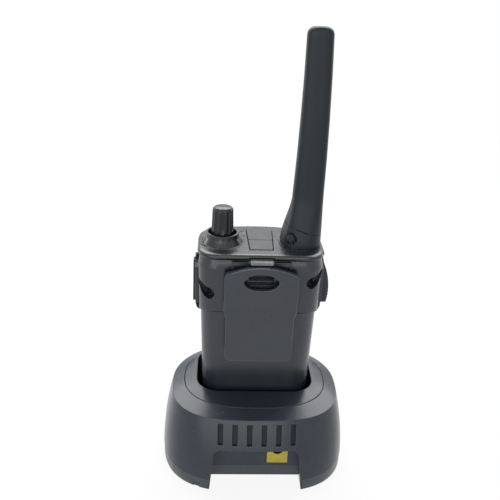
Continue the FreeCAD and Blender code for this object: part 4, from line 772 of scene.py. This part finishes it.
@dataclass
class Cradle:
    """The charging cradle: shell, drop-in pocket, tray, feet and inlet."""

    shell_edge: float = 0.25 * MM
    liner_edge: float = 0.4 * MM
    thin_room: float = 0.0
    foot_edge: float = 0.2 * MM
    label_edge: float = 0.05 * MM
    vent_low: float = 25.0 * MM
    vent_high: float = 36.2 * MM
    vent_half_span: float = 20.5 * MM
    vent_pitch: float = 7.26 * MM
    vent_from_depth: float = 0.48 * MM
    vent_to_depth: float = 2.56 * MM
    outside_y: float = 0.1

    def deep(self, skin: BVHTree, place: Vector) -> bool:
        """Tells whether a place lies in one of the vents.

        Args:
            skin: the shell's surface.
            place: the place, on the shell.

        Returns:
            True where it lies well behind the wall on either side.
        """
        behind = place.y > 0 and abs(place.x) < self.vent_half_span
        if not (behind and self.vent_low < place.z < self.vent_high):
            return False
        walls = []
        for side in (-self.vent_pitch / 2, self.vent_pitch / 2):
            start = Vector((place.x + side, self.outside_y, place.z))
            hit = skin.ray_cast(start, Vector((0, -1, 0)))[0]
            walls.append(hit.y if hit else place.y)
        return self.vent_from_depth < sum(walls) / 2 - place.y < self.vent_to_depth

    def shade_vents(self, shell: bpy.types.Object) -> None:
        """Gives the inside of the vents a darker, matt finish, which is a painted shade.

        Args:
            shell: the finished shell.
        """
        mesh = bmesh.new()
        mesh.from_mesh(shell.data)
        skin = BVHTree.FromBMesh(mesh)
        shell.data.materials.append(Finish.VENT.material)
        # Faces deep in a vent take the darker finish, a painted shade.
        for face in mesh.faces:
            if self.deep(skin, face.calc_center_median()):
                face.material_index = 1
        mesh.to_mesh(shell.data)
        mesh.free()

    def build(self) -> None:
        """Builds and dresses every cradle piece."""
        shell = Edging("cradle_upper_shell", self.shell_edge, room=self.thin_room)
        self.shade_vents(shell.build(Finish.CRADLE, "cradle"))
        Edging("pocket_liner", self.liner_edge, room=self.thin_room).build(Finish.POCKET, "cradle")
        Edging("cradle_base_tray", 0).build(Finish.CRADLE_TRAY, "cradle")
        Edging("cradle_feet", self.foot_edge).build(Finish.FOOT_RUBBER, "cradle")
        Edging("power_inlet", 0).build(Finish.SOCKET, "cradle")
        Edging("inlet_label", self.label_edge, 1).build(Finish.LABEL, "cradle")


@dataclass
class RadioBody:
    """The radio's housings, deck, side frames and keys."""

    housing_edge: float = 0.32 * MM
    housing_room: float = 0.3
    deck_edge: float = 0.25 * MM
    frame_edge: float = 0.5 * MM
    key_edge: float = 0.45 * MM
    flap_edge: float = 0.2 * MM
    cover_taper: float = 0.04
    taper_from_y: float = -8.0 * MM
    taper_to_y: float = 13.2 * MM
    rim_round: float = 1.3 * MM
    rim_z: float = 116.9 * MM
    rim_reach: float = 4.0 * MM
    rim_turn: float = math.radians(35)
    rim_segments: int = 5
    # A face whose normal's z is above the first is level, and one below the second is upright.
    level: float = 0.8
    upright: float = 0.6
    flange_cuts: tuple[float, ...] = (79.8 * MM, 80.6 * MM, 81.8 * MM, 83.4 * MM, 85.4 * MM, 87.6 * MM)
    flange_foot_z: float = 79.2 * MM
    flange_shoulder_z: float = 90.0 * MM
    flange_inner_x: float = 28.6 * MM

    def taper(self, cover: bpy.types.Object) -> None:
        """Draws the battery cover's flanks in towards its rear face.

        Args:
            cover: the battery cover.
        """
        for vertex in cover.data.vertices:
            share = (vertex.co.y - self.taper_from_y) / (self.taper_to_y - self.taper_from_y)
            vertex.co.x *= 1 - self.cover_taper * max(0.0, share) ** 2

    def round_rim(self, deck: bpy.types.Object) -> None:
        """Rolls the deck's outer rim over into its flank.

        Args:
            deck: the top cover.
        """
        mesh = bmesh.new()
        mesh.from_mesh(deck.data)
        low, high = (Vector([pick(vertex.co[axis] for vertex in mesh.verts) for axis in range(2)])
                     for pick in (min, max))
        centre = Vector((0, (low.y + high.y) / 2))
        rim = []
        for edge in mesh.edges:
            middle = (edge.verts[0].co + edge.verts[1].co) / 2
            inset = min(*(middle.xy - low), *(high - middle.xy))
            bent = edge.calc_face_angle(0) > self.rim_turn
            topped = any(face.normal.z > self.level for face in edge.link_faces)
            outward = any(face.normal.z < self.upright and face.normal.xy.dot(middle.xy - centre) > 0
                          for face in edge.link_faces)
            if middle.z > self.rim_z and inset < self.rim_reach and bent and topped and outward:
                rim.append(edge)
        bmesh.ops.bevel(mesh, geom=rim, offset=self.rim_round, segments=self.rim_segments, profile=0.5,
                        affect="EDGES", clamp_overlap=True)
        mesh.to_mesh(deck.data)
        mesh.free()
        log.info("deck rim: %d edges rolled", len(rim))

    def fair(self, flange: bpy.types.Object) -> None:
        """Runs a side frame's foot out into the housing.

        Args:
            flange: the side frame.
        """
        mesh = bmesh.new()
        mesh.from_mesh(flange.data)
        slope = self.flange_shoulder_z - self.flange_foot_z
        for height in self.flange_cuts:
            bmesh.ops.bisect_plane(mesh, geom=mesh.verts[:] + mesh.edges[:] + mesh.faces[:],
                                   plane_co=(0, 0, height), plane_no=(0, 0, 1))
        for vertex in mesh.verts:
            share = (self.flange_shoulder_z - vertex.co.z) / slope
            proud = abs(vertex.co.x) - self.flange_inner_x
            if share > 0 and proud > 0:
                kept = math.sqrt(max(0.0, 1 - min(1.0, share) ** 2))
                vertex.co.x = math.copysign(self.flange_inner_x + proud * kept, vertex.co.x)
        mesh.to_mesh(flange.data)
        mesh.free()

    def build(self) -> None:
        """Builds and dresses every piece of the body."""
        for node in ("front_housing", "rear_housing"):
            Edging(node, self.housing_edge, room=self.housing_room).build(Finish.BODY, "radio")
        cover = Edging("battery_cover", self.housing_edge, room=self.housing_room, shape=self.taper)
        cover.build(Finish.BODY, "radio")
        Edging("top_cover", self.deck_edge, shape=self.round_rim).build(Finish.DECK, "radio")
        Edging("knob_collar", self.deck_edge).build(Finish.DECK, "radio")
        for node in ("side_panel", "talk_plate"):
            Edging(node, self.frame_edge, shape=self.fair).build(Finish.BODY, "radio")
        Edging("jack_cover_anchor", self.flap_edge, 2).build(Finish.JACK_RUBBER, "radio")
        Edging("jack_cover_flap", self.flap_edge, 2).build(Finish.JACK_RUBBER, "jack_flap")
        Edging("display_window", self.flap_edge, 2).build(Finish.WINDOW, "radio")
        keys = [f"front_key_{number}" for number in range(1, 5)] + ["side_key_1", "side_key_2"]
        for key in keys:
            Edging(key, self.key_edge).build(Finish.KEY_RUBBER, key)
        Edging("talk_button", self.deck_edge, 2).build(Finish.KEY_RUBBER, "talk_button")


@dataclass
class Antenna:
    """The flat antenna in its rubber boot."""

    boot_edge: float = 0.3 * MM
    screw_edge: float = 0.12 * MM

    def build(self) -> None:
        """Builds and dresses the boot, the blade and the screw."""
        Edging("antenna_boot", self.boot_edge).build(Finish.ANTENNA, "radio")
        Edging("antenna_blade", self.boot_edge, 2).build(Finish.ANTENNA, "radio")
        Edging("antenna_screw", self.screw_edge, 2).build(Finish.SCREW, "radio")


@dataclass
class BeltClip:
    """The belt clip, its bracket and its latch."""

    clip_edge: float = 0.4 * MM
    bracket_edge: float = 0.18 * MM
    latch_edge: float = 0.3 * MM

    def build(self) -> None:
        """Builds and dresses the clip's pieces."""
        Edging("belt_clip", self.clip_edge).build(Finish.CLIP, "belt_clip")
        Edging("clip_bracket", self.bracket_edge, 2).build(Finish.BODY, "radio")
        Edging("clip_latch", self.latch_edge).build(Finish.LATCH, "clip_latch")


@dataclass
class ControlKnob:
    """The fluted volume knob, turned and domed."""

    centre_x: float = 19.25 * MM
    centre_y: float = -2.9 * MM
    foot_z: float = 118.25 * MM
    flute_z: float = 122.6 * MM
    shoulder_z: float = 133.9 * MM
    foot_radius: float = 5.5 * MM
    top_radius: float = 5.1 * MM
    flutes: int = 10
    steps: int = 8
    stages: int = 6
    flute_depth: float = 0.62 * MM
    flute_half: float = 0.36
    crisp_turn: float = math.radians(55)
    # The flutes run in over this height, and have this share of their depth at their foot.
    run_in: float = 0.5 * MM
    run_in_share: float = 0.3
    # Each ring of the crown: its height, its inset and its share of the flutes' depth.
    crown: tuple[Point, ...] = (
        (134.4 * MM, 0.12 * MM, 0.75), (134.9 * MM, 0.5 * MM, 0.4), (135.15 * MM, 1.0 * MM, 0.12),
        (135.32 * MM, 1.7 * MM, 0.0), (135.47 * MM, 2.9 * MM, 0.0), (135.55 * MM, 4.2 * MM, 0.0))

    def ring(self, piece: bpy.types.Object, z: float, radius: float, depth: float) -> None:
        """Shapes the top ring of the mesh into a fluted circle.

        Args:
            piece: the knob, in edit mode with its top ring selected.
            z: the ring's new height.
            radius: its radius between the flutes.
            depth: how deep the flutes are there.
        """
        mesh = bmesh.from_edit_mesh(piece.data)
        for vertex in (vertex for vertex in mesh.verts if vertex.select):
            turn = math.atan2(vertex.co.y - self.centre_y, vertex.co.x - self.centre_x)
            phase = (turn * self.flutes / (2 * math.pi)) % 1.0
            hollow = max(0.0, 1 - abs(phase - 0.5) / self.flute_half)
            reach = radius - depth * math.sin(hollow * math.pi / 2) ** 1.5
            vertex.co.x = self.centre_x + reach * math.cos(turn)
            vertex.co.y = self.centre_y + reach * math.sin(turn)
            vertex.co.z = z
        bmesh.update_edit_mesh(piece.data)

    def rings(self) -> list[Point]:
        """Lists the rings above the foot.

        Returns:
            Each ring's height, radius and share of the flutes' depth.
        """
        rings = [(self.flute_z - self.run_in, self.foot_radius, 0.0),
                 (self.flute_z, self.foot_radius, self.run_in_share)]
        for stage in range(1, self.stages + 1):
            share = stage / self.stages
            rings.append((self.flute_z + (self.shoulder_z - self.flute_z) * share,
                          self.foot_radius + (self.top_radius - self.foot_radius) * share, 1.0))
        return rings + [(z, self.top_radius - inset, share) for z, inset, share in self.crown]

    def build(self) -> None:
        """Builds the knob upwards from its foot, ring by ring."""
        deselect_all()
        bpy.ops.mesh.primitive_circle_add(
            vertices=self.flutes * self.steps, radius=self.foot_radius, fill_type="NGON",
            location=(self.centre_x, self.centre_y, self.foot_z))
        piece = bpy.context.object
        piece.name = "knob_fluted"
        settle(piece)
        bpy.ops.object.mode_set(mode="EDIT")
        bpy.ops.mesh.select_all(action="SELECT")
        for z, radius, share in self.rings():
            bpy.ops.mesh.extrude_region_move()
            self.ring(piece, z, radius, self.flute_depth * share)
        bpy.ops.mesh.select_all(action="SELECT")
        bpy.ops.mesh.normals_make_consistent(inside=False)
        bpy.ops.object.mode_set(mode="OBJECT")
        bpy.ops.object.shade_smooth_by_angle(angle=self.crisp_turn)
        dress(piece, Finish.KNOB, "knob", "knob")


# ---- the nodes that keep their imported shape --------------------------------
@dataclass
class PackedNodes:
    """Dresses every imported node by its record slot."""

    def dress(self) -> None:
        """Assigns each node the finish of its slot."""
        slots = {part["node"]: part["material_slot"] for part in frame["record"]["subparts"]}
        for name, node in frame["nodes"].items():
            node.data.materials.clear()
            node.data.materials.append(SLOT_FINISH[slots[name]].material)


# ---- the studio ------------------------------------------------------------
@dataclass(frozen=True)
class SoftBox:
    """A soft lamp: its name, its place, its sides in metres and its watts."""

    name: str
    place: Point
    width: float
    height: float
    power: float


@dataclass
class Studio:
    """The pale floor, the soft lamps, the world and the camera."""

    camera_place: Point = (24.44 * MM, 320.84 * MM, 251.77 * MM)
    azimuth: float = 176.58
    elevation: float = 23.26
    roll: float = 2.59
    lens: float = 50.4
    sensor: float = 36.0
    floor_radius: float = 1.3
    floor_sides: int = 96
    floor_albedo: float = 0.45
    paper_tones: tuple[float, float] = (0.9, 0.94)
    paper_blotch: float = 0.4
    floor_glow: float = 0.9
    glow_from: float = 0.3
    glow_to: float = 0.85
    world_light: float = 0.2
    lamp_aim: Point = (0, 0, 0.06)
    # One wide box high behind, which shines on the tops, one low at each side, and a fill in front.
    boxes: tuple[SoftBox, ...] = (
        SoftBox("box_behind", (0.0, -0.58, 0.86), 1.2, 0.8, 16.0),
        SoftBox("box_left", (0.85, -0.42, 0.2), 0.3, 0.5, 2.2),
        SoftBox("box_right", (-0.85, -0.42, 0.2), 0.3, 0.5, 2.2),
        SoftBox("box_fill", (0.25, 1.05, 0.42), 1.3, 0.9, 6.5))

    def floor(self) -> None:
        """Adds the pale floor, white to the camera and still taking shadows."""
        deselect_all()
        bpy.ops.mesh.primitive_circle_add(
            vertices=self.floor_sides, radius=self.floor_radius, fill_type="NGON")
        disc = bpy.context.object
        disc.name = "floor"
        graph = Graph("floor_paper")
        seen = self.seen(graph)
        away = graph.add("ShaderNodeVectorMath", {"operation": "LENGTH"}, {0: graph.place()}).outputs["Value"]
        outer = Reading(graph, away).between(self.glow_from, self.glow_to)
        unseen, pale, paler = ((tone,) * 3 for tone in (self.floor_albedo, *self.paper_tones))
        paper = graph.blend(graph.noise(self.paper_blotch, 2), pale, paler)
        graph.finish(Base_Color=graph.blend(seen, unseen, paper), Roughness=0.9)
        glow = graph.add("ShaderNodeEmission", {}, {"Color": WHITE, "Strength": 1.0})
        share = seen * (outer * (1 - self.floor_glow) + self.floor_glow)
        inputs = {0: share, 1: graph.surface.outputs[0], 2: glow.outputs[0]}
        mixed = graph.add("ShaderNodeMixShader", {}, inputs)
        graph.feed(graph.nodes["Material Output"].inputs[0], mixed.outputs[0])
        disc.data.materials.append(graph.material)

    def seen(self, graph: Graph) -> Reading:
        """Tells the rays that show the background from those that light the object.

        Args:
            graph: the material's graph.

        Returns:
            1 for camera, mirror and see-through rays, and 0 for the rest.
        """
        ray = graph.add("ShaderNodeLightPath", {}, {}).outputs
        seen = Reading(graph, ray["Is Camera Ray"])
        for kind in ("Is Glossy Ray", "Is Transmission Ray"):
            seen = seen.combine("MAXIMUM", seen, ray[kind])
        return seen

    def world(self) -> None:
        """Adds a white room: full white where it is seen, dimmer as light."""
        world = bpy.data.worlds.new("studio")
        bpy.context.scene.world = world
        world.use_nodes = True
        graph = Graph.of_tree(world.node_tree)
        light = graph.nodes["Background"]
        graph.feed(light.inputs["Color"], WHITE)
        graph.feed(light.inputs["Strength"], self.world_light)
        white = graph.add("ShaderNodeBackground", {}, {"Color": WHITE, "Strength": 1.0})
        inputs = {0: self.seen(graph), 1: light.outputs[0], 2: white.outputs[0]}
        mixed = graph.add("ShaderNodeMixShader", {}, inputs)
        graph.feed(graph.nodes["World Output"].inputs[0], mixed.outputs[0])

    def lamp(self, box: SoftBox) -> None:
        """Adds a soft lamp that faces the object.

        Args:
            box: what the lamp is.
        """
        light = bpy.data.lights.new(box.name, "AREA")
        light.shape = "RECTANGLE"
        light.size = box.width
        light.size_y = box.height
        light.energy = box.power
        lamp = bpy.data.objects.new(box.name, light)
        lamp.visible_camera = False
        lamp.location = box.place
        beam = Vector(self.lamp_aim) - Vector(box.place)
        lamp.rotation_euler = beam.to_track_quat("-Z", "Y").to_euler()
        bpy.context.scene.collection.objects.link(lamp)

    def camera(self) -> None:
        """Adds the camera, slightly rolled, as a hand-held one is."""
        turn, lift, roll = map(math.radians, (self.azimuth, self.elevation, self.roll))
        level = Vector((math.sin(turn), -math.cos(turn), 0))
        back = level * math.cos(lift) + Vector((0, 0, math.sin(lift)))
        right = Vector((0, 0, 1)).cross(back).normalized()
        above = back.cross(right)
        across = right * math.cos(roll) + above * math.sin(roll)
        upward = above * math.cos(roll) - right * math.sin(roll)
        data = bpy.data.cameras.new("camera")
        data.sensor_width = self.sensor
        data.lens = self.lens
        camera = bpy.data.objects.new("camera", data)
        camera.matrix_world = Matrix((across, upward, back)).transposed().to_4x4()
        camera.location = self.camera_place
        bpy.context.scene.collection.objects.link(camera)
        bpy.context.scene.camera = camera

    def build(self) -> None:
        """Adds the whole studio."""
        self.floor()
        self.world()
        for box in self.boxes:
            self.lamp(box)
        self.camera()
        bpy.context.scene.view_settings.view_transform = "Standard"


def main() -> None:
    """Dresses the nodes, builds the pieces and sets the studio."""
    logging.basicConfig(level=logging.INFO, format="%(message)s")
    deselect_all()
    PackedNodes().dress()
    for assembly in (Cradle(), RadioBody(), Antenna(), BeltClip(), ControlKnob()):
        assembly.build()
    Studio().build()


if __name__ == "__main__":
    main()
